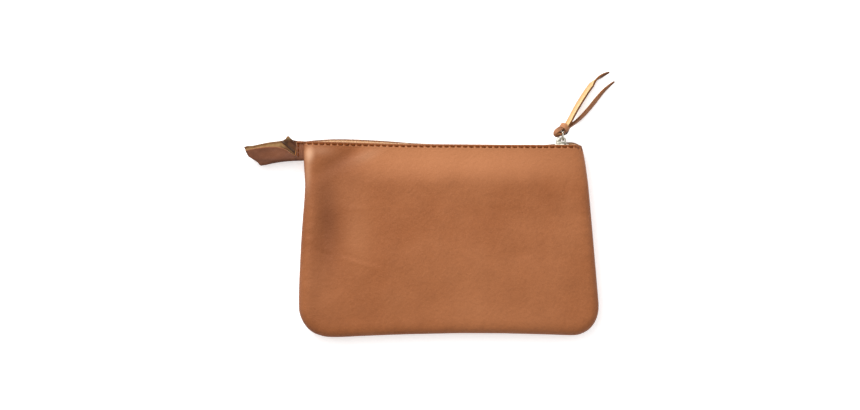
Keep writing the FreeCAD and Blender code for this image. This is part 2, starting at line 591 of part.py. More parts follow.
row_y = "stitch_y - 0.5 * stitch_wide"
row_length = "stitch_pitch * (stitch_count - 1)"
nodes["front_topstitch"] = stitch_row("front_topstitch", "stitch_left_x", row_y, "seam_z + lip_out", "stitch_long", "stitch_wide", "stitch_high", "H_Axis", row_length, "stitch_count")
nodes["back_topstitch"] = stitch_row("back_topstitch", "stitch_left_x", row_y, "seam_z - lip_out - stitch_high", "stitch_long", "stitch_wide", "stitch_high", "H_Axis", row_length, "stitch_count")
nodes["tab_stitch"] = stitch_row("tab_stitch", "tab_seam_x - 0.5 * stitch_wide", "48.4", "seam_z + 0.5 * tab_gap + leather", "stitch_wide", "2.3", "stitch_high", "V_Axis", "3 * (tab_seam_count - 1)", "tab_seam_count")

doc.recompute()

# ---- checks and export ------------------------------------------------------
for obj in doc.Objects:
    bad = [s for s in obj.State if s in ("Invalid", "Error")]
    if bad:
        raise RuntimeError(f"{obj.Name}: {bad}")
os.makedirs("parts", exist_ok=True)
for name, obj in nodes.items():
    obj.Label = name
    shape = obj.Shape
    if shape.isNull() or not shape.isValid() or not shape.Solids:
        raise RuntimeError(f"{name}: bad shape")
    shape.exportStep(f"parts/{name}.step")
    b = shape.BoundBox
    print(f"{name:16s} solids {len(shape.Solids):3d} volume {shape.Volume:9.1f}  x {b.XMin:7.2f} {b.XMax:7.2f}  y {b.YMin:7.2f} {b.YMax:7.2f}  z {b.ZMin:6.2f} {b.ZMax:6.2f}")
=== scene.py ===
import math
import random

import bmesh
import bpy
import numpy as np
from mathutils import Matrix, Vector


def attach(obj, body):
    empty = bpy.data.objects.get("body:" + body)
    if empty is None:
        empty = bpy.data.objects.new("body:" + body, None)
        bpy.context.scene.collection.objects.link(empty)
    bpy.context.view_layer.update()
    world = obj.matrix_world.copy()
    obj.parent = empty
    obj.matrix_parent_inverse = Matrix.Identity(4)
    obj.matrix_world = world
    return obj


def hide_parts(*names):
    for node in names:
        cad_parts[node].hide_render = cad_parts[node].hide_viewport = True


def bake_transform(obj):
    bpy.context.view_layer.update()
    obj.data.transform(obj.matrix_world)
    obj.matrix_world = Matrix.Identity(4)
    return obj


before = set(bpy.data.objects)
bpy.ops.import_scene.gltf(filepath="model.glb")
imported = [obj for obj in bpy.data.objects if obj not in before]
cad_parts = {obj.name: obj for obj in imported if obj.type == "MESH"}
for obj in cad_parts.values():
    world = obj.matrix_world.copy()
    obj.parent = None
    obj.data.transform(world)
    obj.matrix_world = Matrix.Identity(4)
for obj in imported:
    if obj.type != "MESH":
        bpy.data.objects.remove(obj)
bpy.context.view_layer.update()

MM = 0.001
ZM = 8.0                      # height of the seam plane above the table
rng = np.random.default_rng(7)
rnd = random.Random(11)


# ------------------------------------------------------------------ helpers
def srgb(r, g, b):
    def f(c):
        c /= 255.0
        return c / 12.92 if c <= 0.04045 else ((c + 0.055) / 1.055) ** 2.4
    return (f(r), f(g), f(b), 1.0)


def mesh_object(name, verts_mm, faces, mats=(), face_mats=None, smooth=True):
    me = bpy.data.meshes.new(name)
    v = np.asarray(verts_mm, dtype=float) * MM
    me.from_pydata([tuple(p) for p in v], [], [tuple(f) for f in faces])
    ob = bpy.data.objects.new(name, me)
    bpy.context.scene.collection.objects.link(ob)
    for m in mats:
        me.materials.append(m)
    if face_mats is not None:
        me.polygons.foreach_set("material_index", np.asarray(face_mats, dtype=np.int32))
    if smooth:
        me.polygons.foreach_set("use_smooth", np.ones(len(me.polygons), dtype=bool))
    me.update()
    return ob


def add_attr(ob, name, values):
    a = ob.data.attributes.new(name, "FLOAT", "POINT")
    a.data.foreach_set("value", np.asarray(values, dtype=np.float32))


def smooth01(t):
    t = np.clip(t, 0.0, 1.0)
    return t * t * (3 - 2 * t)


def bump2(x, y, cx, cy, sx, sy, turn=0.0):
    c, s = math.cos(math.radians(turn)), math.sin(math.radians(turn))
    dx, dy = x - cx, y - cy
    a, b = dx * c + dy * s, -dx * s + dy * c
    return np.exp(-(a / sx) ** 2 - (b / sy) ** 2)


class Waves:
    """A smooth random field: a sum of a few dozen plane waves, always the same."""

    def __init__(self, seed, scale, n=28, spread=0.5):
        r = np.random.default_rng(seed)
        ang = r.uniform(0, 2 * math.pi, n)
        k = 2 * math.pi / (scale * np.exp(r.normal(0, spread * 0.6, n)))
        self.kx, self.ky = k * np.cos(ang), k * np.sin(ang)
        self.ph = r.uniform(0, 2 * math.pi, n)
        self.a = r.normal(0, 1, n) / math.sqrt(n) * 1.2

    def __call__(self, x, y):
        out = np.zeros_like(x, dtype=float)
        for kx, ky, ph, a in zip(self.kx, self.ky, self.ph, self.a):
            out += a * np.sin(kx * x + ky * y + ph)
        return out


# ---------------------------------------------------------------- materials
def new_mat(name):
    m = bpy.data.materials.new(name)
    m.use_nodes = True
    nt = m.node_tree
    nt.nodes.clear()
    out = nt.nodes.new("ShaderNodeOutputMaterial")
    bsdf = nt.nodes.new("ShaderNodeBsdfPrincipled")
    nt.links.new(bsdf.outputs[0], out.inputs[0])
    return m, nt, bsdf


def N(nt, kind, **kw):
    n = nt.nodes.new(kind)
    for k, v in kw.items():
        if k in n.inputs.keys():
            n.inputs[k].default_value = v
        else:
            setattr(n, k, v)
    return n


def ramp(nt, fac, stops):
    r = nt.nodes.new("ShaderNodeValToRGB")
    els = r.color_ramp.elements
    while len(els) < len(stops):
        els.new(0.5)
    for e, (p, c) in zip(els, stops):
        e.position = p
        e.color = c if len(c) == 4 else (*c, 1.0)
    nt.links.new(fac, r.inputs[0])
    return r.outputs[0]


def mix(nt, fac, a, b, mode="MIX"):
    m = nt.nodes.new("ShaderNodeMix")
    m.data_type = "RGBA"
    m.blend_type = mode
    m.clamp_factor = True
    for sock, val in ((m.inputs[0], fac), (m.inputs[6], a), (m.inputs[7], b)):
        if isinstance(val, (int, float)):
            sock.default_value = val
        elif isinstance(val, tuple):
            sock.default_value = val
        else:
            nt.links.new(val, sock)
    return m.outputs[2]


def math_n(nt, op, a, b=0.0, clamp=False):
    m = nt.nodes.new("ShaderNodeMath")
    m.operation = op
    m.use_clamp = clamp
    for sock, val in ((m.inputs[0], a), (m.inputs[1], b)):
        if isinstance(val, (int, float)):
            sock.default_value = val
        else:
            nt.links.new(val, sock)
    return m.outputs[0]


def coords(nt, scale=1.0, warp=0.0, warp_scale=60.0):
    tc = nt.nodes.new("ShaderNodeTexCoord")
    v = tc.outputs["Object"]
    if warp:
        n = N(nt, "ShaderNodeTexNoise", Scale=warp_scale, Detail=3.0)
        nt.links.new(v, n.inputs["Vector"])
        vm = nt.nodes.new("ShaderNodeVectorMath")
        vm.operation = "MULTIPLY_ADD"
        nt.links.new(n.outputs["Color"], vm.inputs[0])
        vm.inputs[1].default_value = (warp, warp, warp)
        nt.links.new(v, vm.inputs[2])
        v = vm.outputs[0]
    if scale != 1.0:
        mp = nt.nodes.new("ShaderNodeMapping")
        mp.inputs["Scale"].default_value = (scale, scale, scale)
        nt.links.new(v, mp.inputs[0])
        v = mp.outputs[0]
    return v


def tex_noise(nt, vec, scale, detail=4.0, rough=0.5):
    n = N(nt, "ShaderNodeTexNoise", Scale=scale, Detail=detail, Roughness=rough)
    nt.links.new(vec, n.inputs["Vector"])
    return n.outputs["Fac"]


def attribute(nt, name):
    a = nt.nodes.new("ShaderNodeAttribute")
    a.attribute_name = name
    return a.outputs["Fac"]


def leather(name, base, light, dark, grain=1.0, pebble=1150.0, rough=(0.48, 0.66), fine=1.0, use_attrs=False, mottling=1.0):
    """Full-grain leather: pebbled grain, pores, slow colour drift, and with use_attrs painted shade, painted light and
    a painted pale highlight.
    """
    m, nt, bsdf = new_mat(name)
    v = coords(nt)
    vw = coords(nt, warp=0.0016, warp_scale=420.0)
    slow = tex_noise(nt, v, 24.0, 3.0, 0.55)
    mid = tex_noise(nt, v, 130.0, 5.0, 0.6)
    small = tex_noise(nt, v, 900.0, 4.0, 0.6)
    wrinkle = tex_noise(nt, vw, 520.0, 2.0, 0.5)
    col = mix(nt, math_n(nt, "MULTIPLY", ramp(nt, slow, [(0.35, (0, 0, 0)), (0.68, (1, 1, 1))]), 0.5 * mottling), base, light)
    col = mix(nt, math_n(nt, "MULTIPLY", ramp(nt, mid, [(0.42, (0, 0, 0)), (0.75, (1, 1, 1))]), 0.22 * mottling), col, dark)
    cells = N(nt, "ShaderNodeTexVoronoi", Scale=pebble)
    cells.feature = "F1"
    nt.links.new(vw, cells.inputs["Vector"])
    cracks = N(nt, "ShaderNodeTexVoronoi", Scale=pebble * 1.05)
    cracks.feature = "DISTANCE_TO_EDGE"
    nt.links.new(vw, cracks.inputs["Vector"])
    crack = ramp(nt, cracks.outputs["Distance"], [(0.0, (0, 0, 0)), (0.2, (1, 1, 1))])
    pebbles = ramp(nt, cells.outputs["Distance"], [(0.0, (1, 1, 1)), (0.75, (0, 0, 0))])
    col = mix(nt, math_n(nt, "MULTIPLY", math_n(nt, "SUBTRACT", 1.0, crack), 0.16), col, dark)
    col = mix(nt, math_n(nt, "MULTIPLY", ramp(nt, small, [(0.55, (0, 0, 0)), (0.8, (1, 1, 1))]), 0.22), col, light)
    col = mix(nt, math_n(nt, "MULTIPLY", ramp(nt, wrinkle, [(0.5, (0, 0, 0)), (0.7, (1, 1, 1))]), 0.10), col, dark)
    # painted shade (shade attribute), painted light (glow) and a painted pale highlight (pale) mixed into the colour
    if use_attrs:
        col = mix(nt, math_n(nt, "MULTIPLY", attribute(nt, "shade"), 1.0, True), col, dark)
        col = mix(nt, math_n(nt, "MULTIPLY", attribute(nt, "glow"), 1.0, True), col, light)
        col = mix(nt, math_n(nt, "MULTIPLY", attribute(nt, "pale"), 1.0, True), col, srgb(226, 182, 150))
    nt.links.new(col, bsdf.inputs["Base Color"])
    height = math_n(nt, "ADD", math_n(nt, "MULTIPLY", crack, 0.42), math_n(nt, "MULTIPLY", pebbles, 0.45))
    height = math_n(nt, "ADD", height, math_n(nt, "MULTIPLY", small, 0.6 * fine))
    height = math_n(nt, "ADD", height, math_n(nt, "MULTIPLY", mid, 1.2))
    height = math_n(nt, "ADD", height, math_n(nt, "MULTIPLY", wrinkle, 1.9 * fine))
    b = nt.nodes.new("ShaderNodeBump")
    b.inputs["Strength"].default_value = 0.55 * grain
    b.inputs["Distance"].default_value = 0.00011
    nt.links.new(height, b.inputs["Height"])
    nt.links.new(b.outputs[0], bsdf.inputs["Normal"])
    r = nt.nodes.new("ShaderNodeMapRange")
    r.inputs[3].default_value, r.inputs[4].default_value = rough
    nt.links.new(mid, r.inputs[0])
    nt.links.new(r.outputs[0], bsdf.inputs["Roughness"])
    bsdf.inputs["Specular IOR Level"].default_value = 0.24
    bsdf.inputs["Sheen Weight"].default_value = 0.02
    bsdf.inputs["Sheen Roughness"].default_value = 0.5
    return m


def suede(name, base, light, dark, scale=1.0, use_attrs=False):
    """The fibrous flesh side or a raw cut edge of leather."""
    m, nt, bsdf = new_mat(name)
    v = coords(nt, warp=0.001, warp_scale=700.0)
    a = tex_noise(nt, v, 260.0 * scale, 5.0, 0.65)
    f = tex_noise(nt, v, 2600.0 * scale, 6.0, 0.7)
    col = mix(nt, ramp(nt, a, [(0.35, (0, 0, 0)), (0.7, (1, 1, 1))]), base, light)
    col = mix(nt, math_n(nt, "MULTIPLY", ramp(nt, f, [(0.45, (0, 0, 0)), (0.75, (1, 1, 1))]), 0.5), col, dark)
    # painted shade (shade attribute) and painted light (glow) mixed into the colour
    if use_attrs:
        col = mix(nt, attribute(nt, "shade"), col, dark)
        col = mix(nt, attribute(nt, "glow"), col, light)
    nt.links.new(col, bsdf.inputs["Base Color"])
    bsdf.inputs["Roughness"].default_value = 0.9
    bsdf.inputs["Specular IOR Level"].default_value = 0.15
    bsdf.inputs["Sheen Weight"].default_value = 0.25
    b = nt.nodes.new("ShaderNodeBump")
    b.inputs["Strength"].default_value = 0.8
    b.inputs["Distance"].default_value = 0.00012
    nt.links.new(math_n(nt, "ADD", f, math_n(nt, "MULTIPLY", a, 0.8)), b.inputs["Height"])
    nt.links.new(b.outputs[0], bsdf.inputs["Normal"])
    return m


def metal(name, colour, dark, rough=(0.16, 0.34)):
    m, nt, bsdf = new_mat(name)
    v = coords(nt)
    a = tex_noise(nt, v, 420.0, 4.0, 0.6)
    f = tex_noise(nt, v, 5200.0, 3.0, 0.6)
    nt.links.new(mix(nt, ramp(nt, a, [(0.4, (0, 0, 0)), (0.8, (1, 1, 1))]), colour, dark), bsdf.inputs["Base Color"])
    bsdf.inputs["Metallic"].default_value = 1.0
    r = nt.nodes.new("ShaderNodeMapRange")
    r.inputs[3].default_value, r.inputs[4].default_value = rough
    nt.links.new(a, r.inputs[0])
    nt.links.new(r.outputs[0], bsdf.inputs["Roughness"])
    b = nt.nodes.new("ShaderNodeBump")
    b.inputs["Strength"].default_value = 0.25
    b.inputs["Distance"].default_value = 0.00003
    nt.links.new(f, b.inputs["Height"])
    nt.links.new(b.outputs[0], bsdf.inputs["Normal"])
    return m


def thread(name, base, light, scale=2600.0):
    m, nt, bsdf = new_mat(name)
    v = coords(nt)
    w = nt.nodes.new("ShaderNodeTexWave")
    w.wave_type = "BANDS"
    w.bands_direction = "DIAGONAL"
    w.inputs["Scale"].default_value = scale
    w.inputs["Distortion"].default_value = 2.0
    nt.links.new(v, w.inputs["Vector"])
    f = tex_noise(nt, v, 3000.0, 3.0, 0.6)
    col = mix(nt, w.outputs["Fac"], base, light)
    col = mix(nt, math_n(nt, "MULTIPLY", f, 0.4), col, base)
    nt.links.new(col, bsdf.inputs["Base Color"])
    bsdf.inputs["Roughness"].default_value = 0.9
    bsdf.inputs["Specular IOR Level"].default_value = 0.08
    bsdf.inputs["Sheen Weight"].default_value = 0.0
    b = nt.nodes.new("ShaderNodeBump")
    b.inputs["Strength"].default_value = 0.6
    b.inputs["Distance"].default_value = 0.00006
    nt.links.new(w.outputs["Fac"], b.inputs["Height"])
    nt.links.new(b.outputs[0], bsdf.inputs["Normal"])
    return m


def woven(name, base, dark, pitch=0.00045):
    """Zip tape: fine twill ribs."""
    m, nt, bsdf = new_mat(name)
    v = coords(nt)
    waves = []
    for rot in (0.6, -0.6):
        mp = nt.nodes.new("ShaderNodeMapping")
        mp.inputs["Rotation"].default_value = (0.0, 0.35, rot)
        nt.links.new(v, mp.inputs[0])
        w = nt.nodes.new("ShaderNodeTexWave")
        w.wave_type = "BANDS"
        w.bands_direction = "X"
        w.inputs["Scale"].default_value = 0.32 / pitch
        w.inputs["Distortion"].default_value = 0.6
        nt.links.new(mp.outputs[0], w.inputs["Vector"])
        waves.append(w.outputs["Fac"])
    h = math_n(nt, "MULTIPLY", waves[0], waves[1])
    slow = tex_noise(nt, v, 180.0, 4.0, 0.5)
    col = mix(nt, h, dark, base)
    col = mix(nt, math_n(nt, "MULTIPLY", slow, 0.35), col, dark)
    nt.links.new(col, bsdf.inputs["Base Color"])
    bsdf.inputs["Roughness"].default_value = 0.85
    bsdf.inputs["Sheen Weight"].default_value = 0.3
    b = nt.nodes.new("ShaderNodeBump")
    b.inputs["Strength"].default_value = 0.7
    b.inputs["Distance"].default_value = 0.0001
    nt.links.new(h, b.inputs["Height"])
    nt.links.new(b.outputs[0], bsdf.inputs["Normal"])
    return m


M_SHELL = leather("shell_grain", srgb(161, 94, 51), srgb(193, 126, 82), srgb(106, 55, 24), use_attrs=True, mottling=0.62, fine=2.2)
M_FLESH = suede("shell_flesh", srgb(204, 160, 120), srgb(222, 184, 146), srgb(166, 122, 84))
M_EDGE = suede("cut_edge", srgb(112, 68, 40), srgb(138, 88, 54), srgb(78, 48, 28), 1.4)
M_TAB = leather("tab_grain", srgb(116, 68, 45), srgb(156, 98, 66), srgb(70, 40, 26), grain=1.1, mottling=1.0, use_attrs=True)
M_TAB_FLESH = suede("tab_flesh", srgb(142, 100, 60), srgb(172, 140, 94), srgb(84, 48, 28), use_attrs=True)
M_TAB_EDGE = suede("tab_edge", srgb(112, 76, 42), srgb(172, 112, 58), srgb(64, 44, 28), 1.4, use_attrs=True)
M_LACE_GRAIN = leather("lace_grain", srgb(142, 92, 60), srgb(188, 128, 88), srgb(80, 52, 36), grain=0.9, pebble=1700.0, mottling=1.2, use_attrs=True)
M_LACE_FLESH = suede("lace_flesh", srgb(218, 168, 104), srgb(236, 204, 152), srgb(178, 118, 62), 1.2, use_attrs=True)
M_LACE_EDGE = suede("lace_edge", srgb(118, 72, 36), srgb(146, 92, 46), srgb(78, 48, 26), 1.5)
M_THREAD = thread("thread_brown", srgb(112, 52, 16), srgb(152, 80, 30))
M_SEAM = thread("thread_tan", srgb(150, 98, 58), srgb(190, 134, 86))
M_TAPE = woven("zip_tape", srgb(206, 168, 128), srgb(160, 120, 84))
M_TEETH = metal("teeth_nickel", srgb(170, 160, 136), srgb(112, 104, 86), (0.2, 0.38))
M_SLIDER = metal("slider_nickel", srgb(206, 201, 186), srgb(122, 116, 100), (0.1, 0.26))

# ------------------------------------------------------------------- camera
cam_data = bpy.data.cameras.new("camera")
cam = bpy.data.objects.new("camera", cam_data)
bpy.context.scene.collection.objects.link(cam)
DIST = 1.5
cam.location = (-0.01167, 0.0202, DIST)
cam.rotation_euler = (0.0, 0.0, math.radians(0.77))
cam_data.sensor_width = 36.0
cam_data.lens = 36.0 * (DIST - 0.008) / 0.516
cam_data.clip_start = 0.01
cam_data.clip_end = 20.0
cam_data.dof.use_dof = False
bpy.context.scene.camera = cam


# ------------------------------------------------------- the lace's two tails
LONG_TAIL = [(69.0, 67.6, 9.2), (71.4, 71.6, 8.3), (74.6, 77.9, 5.0), (78.9, 85.2, 2.4), (83.4, 92.3, 1.8), (88.6, 98.7, 1.6), (95.3, 101.7, 1.9)]
SHORT_TAIL = [(69.4, 66.9, 6.6), (72.8, 69.4, 5.4), (78.0, 73.5, 3.2), (83.3, 79.4, 1.9), (88.3, 85.9, 1.5), (93.2, 92.0, 1.6), (98.5, 96.1, 1.8)]


def nurbs_line(points_mm, closed=False, resolution=14):
    """The smooth line of a NURBS spline with these control points, in mm."""
    cu = bpy.data.curves.new("route", "CURVE")
    cu.dimensions = "3D"
    sp = cu.splines.new("NURBS")
    sp.points.add(len(points_mm) - 1)
    for p, q in zip(sp.points, points_mm):
        p.co = (q[0] * MM, q[1] * MM, q[2] * MM, 1.0)
    sp.order_u = 3
    sp.use_endpoint_u = not closed
    sp.use_cyclic_u = closed
    cu.resolution_u = resolution
    ob = bpy.data.objects.new("route", cu)
    bpy.context.scene.collection.objects.link(ob)
    dg = bpy.context.evaluated_depsgraph_get()
    me = bpy.data.meshes.new_from_object(ob.evaluated_get(dg))
    pts = np.array([v.co[:] for v in me.vertices]) / MM
    bpy.data.objects.remove(ob)
    bpy.data.curves.remove(cu)
    bpy.data.meshes.remove(me)
    return pts


def resample(pts, n):
    seg = np.linalg.norm(np.diff(pts, axis=0), axis=1)
    s = np.concatenate([[0], np.cumsum(seg)])
    t = np.linspace(0, s[-1], n)
    return np.stack([np.interp(t, s, pts[:, k]) for k in range(3)], axis=1), s[-1]


def frames(pts):
    """Tangents of a line of points."""
    tan = np.gradient(pts, axis=0)
    return tan / np.linalg.norm(tan, axis=1)[:, None]


def strap(name, pts, up, width, thick, mats, top=0, under=1, edge=2, closed=False, tone=None):
    """A leather strip along pts. up(i, s) is the way its top face looks, width(s) its width."""
    n = len(pts)
    tan = frames(pts) if not closed else None
    if closed:
        tan = np.roll(pts, -1, axis=0) - np.roll(pts, 1, axis=0)
        tan /= np.linalg.norm(tan, axis=1)[:, None]
    # section: top face, right edge, under face, left edge, with rounded corners
    r = 0.22
    sect = []
    for cx, cy, a0 in ((1, 1, 90), (1, -1, 0), (-1, -1, -90), (-1, 1, 180)):
        for k in range(4):
            a = math.radians(a0 - 30 * k)
            sect.append((cx, cy, math.cos(a) * r, math.sin(a) * r))
    m_side = []
    k = len(sect)
    for i in range(k):
        # segments between corners: 3..4 right edge, 7..8 under, 11..12 left edge, 15..0 top
        if i in (15,):
            m_side.append(top)
        elif i in (7,):
            m_side.append(under)
        elif i in (0, 1, 13, 14):
            m_side.append(top)
        elif i in (5, 6, 8, 9):
            m_side.append(under)
        else:
            m_side.append(edge)
    verts, faces, fm, tones = [], [], [], []
    for i in range(n):
        s = i / (n - 1)
        w, t = width(s) / 2, thick(s) / 2
        u = np.array(up(i, s), dtype=float)
        tn = tan[i]
        u = u - tn * u.dot(tn)
        u /= np.linalg.norm(u)
        side = np.cross(tn, u)
        for cx, cy, ox, oy in sect:
            rr = min(1.0, w / 0.4, t / 0.3)
            a = cx * (w - r * rr) + ox * rr
            b = cy * (t - r * rr) + oy * rr
            verts.append(pts[i] + side * a + u * b)
            tones.append(tone(s, cx, cy) if tone else (0.0, 0.0))
    rows = n if closed else n - 1
    for i in range(rows):
        j = (i + 1) % n
        for q in range(k):
            q2 = (q + 1) % k
            faces.append((i * k + q, i * k + q2, j * k + q2, j * k + q))
            fm.append(m_side[q])
    if not closed:
        for base, flip in ((0, True), ((n - 1) * k, False)):
            ring = [base + q for q in range(k)]
            faces.append(tuple(reversed(ring)) if flip else tuple(ring))
            fm.append(edge)
    ob = mesh_object(name, verts, faces, mats, fm)
    add_attr(ob, "shade", [q[0] for q in tones])
    add_attr(ob, "glow", [q[1] for q in tones])
    fix_normals(ob)
    return ob


def fix_normals(ob):
    bm = bmesh.new()
    bm.from_mesh(ob.data)
    bmesh.ops.recalc_face_normals(bm, faces=bm.faces)
    bm.to_mesh(ob.data)
    bm.free()
    ob.data.update()


def lerp(a, b, t):
    return a + (b - a) * t


LACE_MATS = (M_LACE_GRAIN, M_LACE_FLESH, M_LACE_EDGE)


def key(s, table):
    xs = [k[0] for k in table]
    return [float(np.interp(s, xs, [k[1][c] for k in table])) for c in range(len(table[0][1]))]


def tail(name, route, ups, widths, tone):
    line = nurbs_line(route)
    pts, total = resample(line, 110)
    ob = strap(
        name, pts,
        lambda i, s: key(s, ups),
        lambda s: key(s, widths)[0],
        lambda s: 1.45 if s < 0.75 else lerp(1.45, 0.9, (s - 0.75) / 0.25),
        LACE_MATS, tone=tone)
    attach(ob, "lace")
    return ob


# the long tail shows its pale flesh side and its right-hand cut edge, then twists over
long_tail = tail(
    "lace_long", LONG_TAIL,
    [(0.0, (0.60, -0.45, -0.6)), (0.15, (0.70, -0.41, -0.56)), (0.45, (0.71, -0.41, -0.56)), (0.70, (0.70, -0.44, -0.56)),
     (0.79, (0.55, -0.85, -0.05)), (0.88, (0.1, -0.85, 0.5)), (1.0, (-0.1, -0.5, 0.85))],
    [(0.0, (3.2,)), (0.1, (4.1,)), (0.35, (4.4,)), (0.70, (4.2,)), (0.80, (2.7,)), (0.9, (2.2,)), (0.97, (1.3,)), (1.0, (0.8,))],
    # tone: painted shade on the right half, painted light on the left half of the flesh side, darker towards the
    # twisted tip
    lambda s, cx, cy: (0.75 * float(smooth01((s - 0.78) / 0.1)) + (0.6 if cx > 0 else 0.0) * (1 - float(smooth01((s - 0.7) / 0.1))), 0.45 if cx < 0 and s < 0.75 else 0.0))
short_tail = tail(
    "lace_short", SHORT_TAIL,
    [(0.0, (0.3, -0.9, 0.35)), (0.12, (0.35, -0.85, 0.45)), (0.35, (0.35, -0.7, 0.7)), (0.6, (0.35, -0.6, 0.75)), (0.8, (0.35, -0.8, 0.6)), (1.0, (0.2, -0.5, 0.8))],
    [(0.0, (2.3,)), (0.15, (2.6,)), (0.6, (2.5,)), (0.85, (1.9,)), (0.95, (1.3,)), (1.0, (0.8,))],
    # tone: a slight general darkening, darker towards the tip, and a painted highlight along its middle
    lambda s, cx, cy: (0.15 + 0.45 * float(smooth01((s - 0.85) / 0.12)), 0.25 if 0.3 < s < 0.7 else 0.0))

# ------------------------------------------------------------ leather shell
# plan outline at the seam, mm, from the closed end of the left side downwards
LEFT = [(-88.3, 57.2), (-88.1, 52.2), (-87.55, 42.6), (-86.95, 35.4), (-86.75, 31.8), (-86.95, 24.6), (-87.4, 17.4), (-88.15, 6.6),
        (-88.7, -4.2), (-89.1, -15.0), (-89.45, -25.8), (-89.58, -36.6), (-89.42, -43.8), (-88.5, -47.4), (-86.86, -51.0), (-84.17, -54.5)]
BOTTOM = [(-84.17, -54.5), (-81.8, -56.6), (-78.97, -58.1), (-74.2, -59.5), (-70.0, -59.85), (-63.4, -59.7), (-52.6, -59.0), (-38.2, -58.2), (-23.8, -57.5), (-9.4, -57.0),
          (5.0, -56.5), (19.4, -56.3), (33.8, -56.2), (48.2, -56.35), (62.6, -56.55), (70.0, -56.75), (75.5, -56.8), (78.5, -56.4), (81.5, -55.2), (84.2, -53.45)]
RIGHT = [(84.2, -53.45), (86.3, -51.4), (88.0, -49.0), (89.55, -45.4), (90.25, -41.4), (90.25, -37.8), (89.55, -30.6), (88.5, -19.8), (87.4, -9.0), (86.35, 1.8),
         (85.25, 12.6), (84.15, 23.3), (83.0, 34.1), (81.4, 44.9), (79.8, 53.5), (78.75, 57.0)]
FRONT_LIP = [(-88.3, 57.3), (-75.0, 57.15), (-60.2, 56.95), (-45.0, 56.7), (-30.0, 56.5), (-15.0, 56.55), (0.0, 56.7), (30.0, 56.8), (60.0, 57.15), (72.0, 57.45), (78.75, 57.0)]
BACK_LIP = [(-88.3, 57.3), (-84.0, 57.95), (-79.4, 58.5), (-72.2, 59.0), (-65.0, 59.2), (-57.8, 59.1), (-50.6, 58.9), (-43.4, 58.6), (-36.2, 58.25), (-29.0, 57.75),
            (-21.8, 57.35), (-12.0, 57.0), (0.0, 56.85), (20.0, 56.7), (40.0, 56.8), (55.0, 57.1), (63.0, 58.0), (68.0, 58.9), (71.5, 59.2), (74.5, 59.1), (76.3, 58.3), (78.75, 57.0)]


def polyline(points, t):
    """Points at fractions t along a smooth line through the given points."""
    p = np.array(points, dtype=float)
    seg = np.linalg.norm(np.diff(p, axis=0), axis=1)
    s = np.concatenate([[0], np.cumsum(seg)])
    fine = np.linspace(0, s[-1], 900)
    xy = np.stack([np.interp(fine, s, p[:, 0]), np.interp(fine, s, p[:, 1])], axis=1)
    kern = np.exp(-np.linspace(-2, 2, 41) ** 2)
    kern /= kern.sum()
    pad = np.concatenate([2 * xy[:1] - xy[20:0:-1], xy, 2 * xy[-1:] - xy[-2:-22:-1]])
    xy = np.stack([np.convolve(pad[:, c], kern, "valid") for c in range(2)], axis=1)
    xy[0], xy[-1] = p[0], p[-1]
    seg = np.linalg.norm(np.diff(xy, axis=0), axis=1)
    s = np.concatenate([[0], np.cumsum(seg)])
    return np.stack([np.interp(t * s[-1], s, xy[:, 0]), np.interp(t * s[-1], s, xy[:, 1])], axis=1)


_fine = np.linspace(0, 1, 420)
SEAM = np.concatenate([polyline(LEFT, _fine)[:-1], polyline(BOTTOM, _fine)[:-1], polyline(RIGHT, _fine)])
SEAM_S = np.concatenate([[0], np.cumsum(np.linalg.norm(np.diff(SEAM, axis=0), axis=1))])


def seam_distance(x, y):
    """Distance to the side and bottom seams, and how far along them the nearest point is."""
    shape = np.shape(x)
    p = np.stack([np.ravel(x), np.ravel(y)], axis=1)
    best = np.full(len(p), 1e9)
    where = np.zeros(len(p))
    a, b = SEAM[:-1], SEAM[1:]
    ab = b - a
    l2 = (ab ** 2).sum(1)
    for start in range(0, len(p), 3000):
        q = p[start:start + 3000]
        ap = q[:, None, :] - a[None]
        t = np.clip((ap * ab[None]).sum(2) / l2[None], 0, 1)
        d = np.linalg.norm(ap - t[:, :, None] * ab[None], axis=2)
        j = d.argmin(1)
        best[start:start + 3000] = d[np.arange(len(q)), j]
        where[start:start + 3000] = SEAM_S[j] + t[np.arange(len(q)), j] * np.sqrt(l2[j])
    return best.reshape(shape), where.reshape(shape)


LIP = {1: np.array(FRONT_LIP), -1: np.array(BACK_LIP)}
STITCH_X = -84.15 + 3.72 * np.arange(43)


def lip_y(x, side):
    return np.interp(x, LIP[side][:, 0], LIP[side][:, 1])


def stitch_y(x, side):
    drop = 1.35 + 1.0 * smooth01((x - 75.0) / 3.5)
    base = lip_y(x, 1) if side > 0 else 0.5 * (lip_y(x, -1) + 57.0)
    return base - drop


W60, W24, W9, W4 = Waves(3, 62), Waves(5, 26), Waves(8, 10, 40), Waves(9, 4.5, 50)
B60, B24, B9 = Waves(13, 60), Waves(15, 25), Waves(18, 10, 40)


def crease(x, y, pts, width, depth, ridge=0.5):
    """A soft fold line through points: a valley with a low ridge along one side."""
    out = np.zeros_like(x)
    p = np.array(pts, dtype=float)
    best = np.full(x.shape, 1e9)
    sign = np.zeros_like(x)
    along = np.zeros_like(x)
    total = 0.0
    lens = np.linalg.norm(np.diff(p, axis=0), axis=1)
    for (a, b), ln in zip(zip(p[:-1], p[1:]), lens):
        dx, dy = (b - a) / ln
        px, py = x - a[0], y - a[1]
        t = np.clip(px * dx + py * dy, 0, ln)
        qx, qy = px - t * dx, py - t * dy
        d = np.hypot(qx, qy)
        m = d < best
        best = np.where(m, d, best)
        sign = np.where(m, np.sign(dx * py - dy * px), sign)
        along = np.where(m, total + t, along)
        total += ln
    fade = np.sin(np.pi * np.clip(along / total, 0, 1)) ** 0.7
    out -= depth * np.exp(-(best / width) ** 2) * fade
    out += depth * ridge * np.exp(-((best - 1.7 * width) / (1.1 * width)) ** 2) * fade * (sign > 0)
    return out


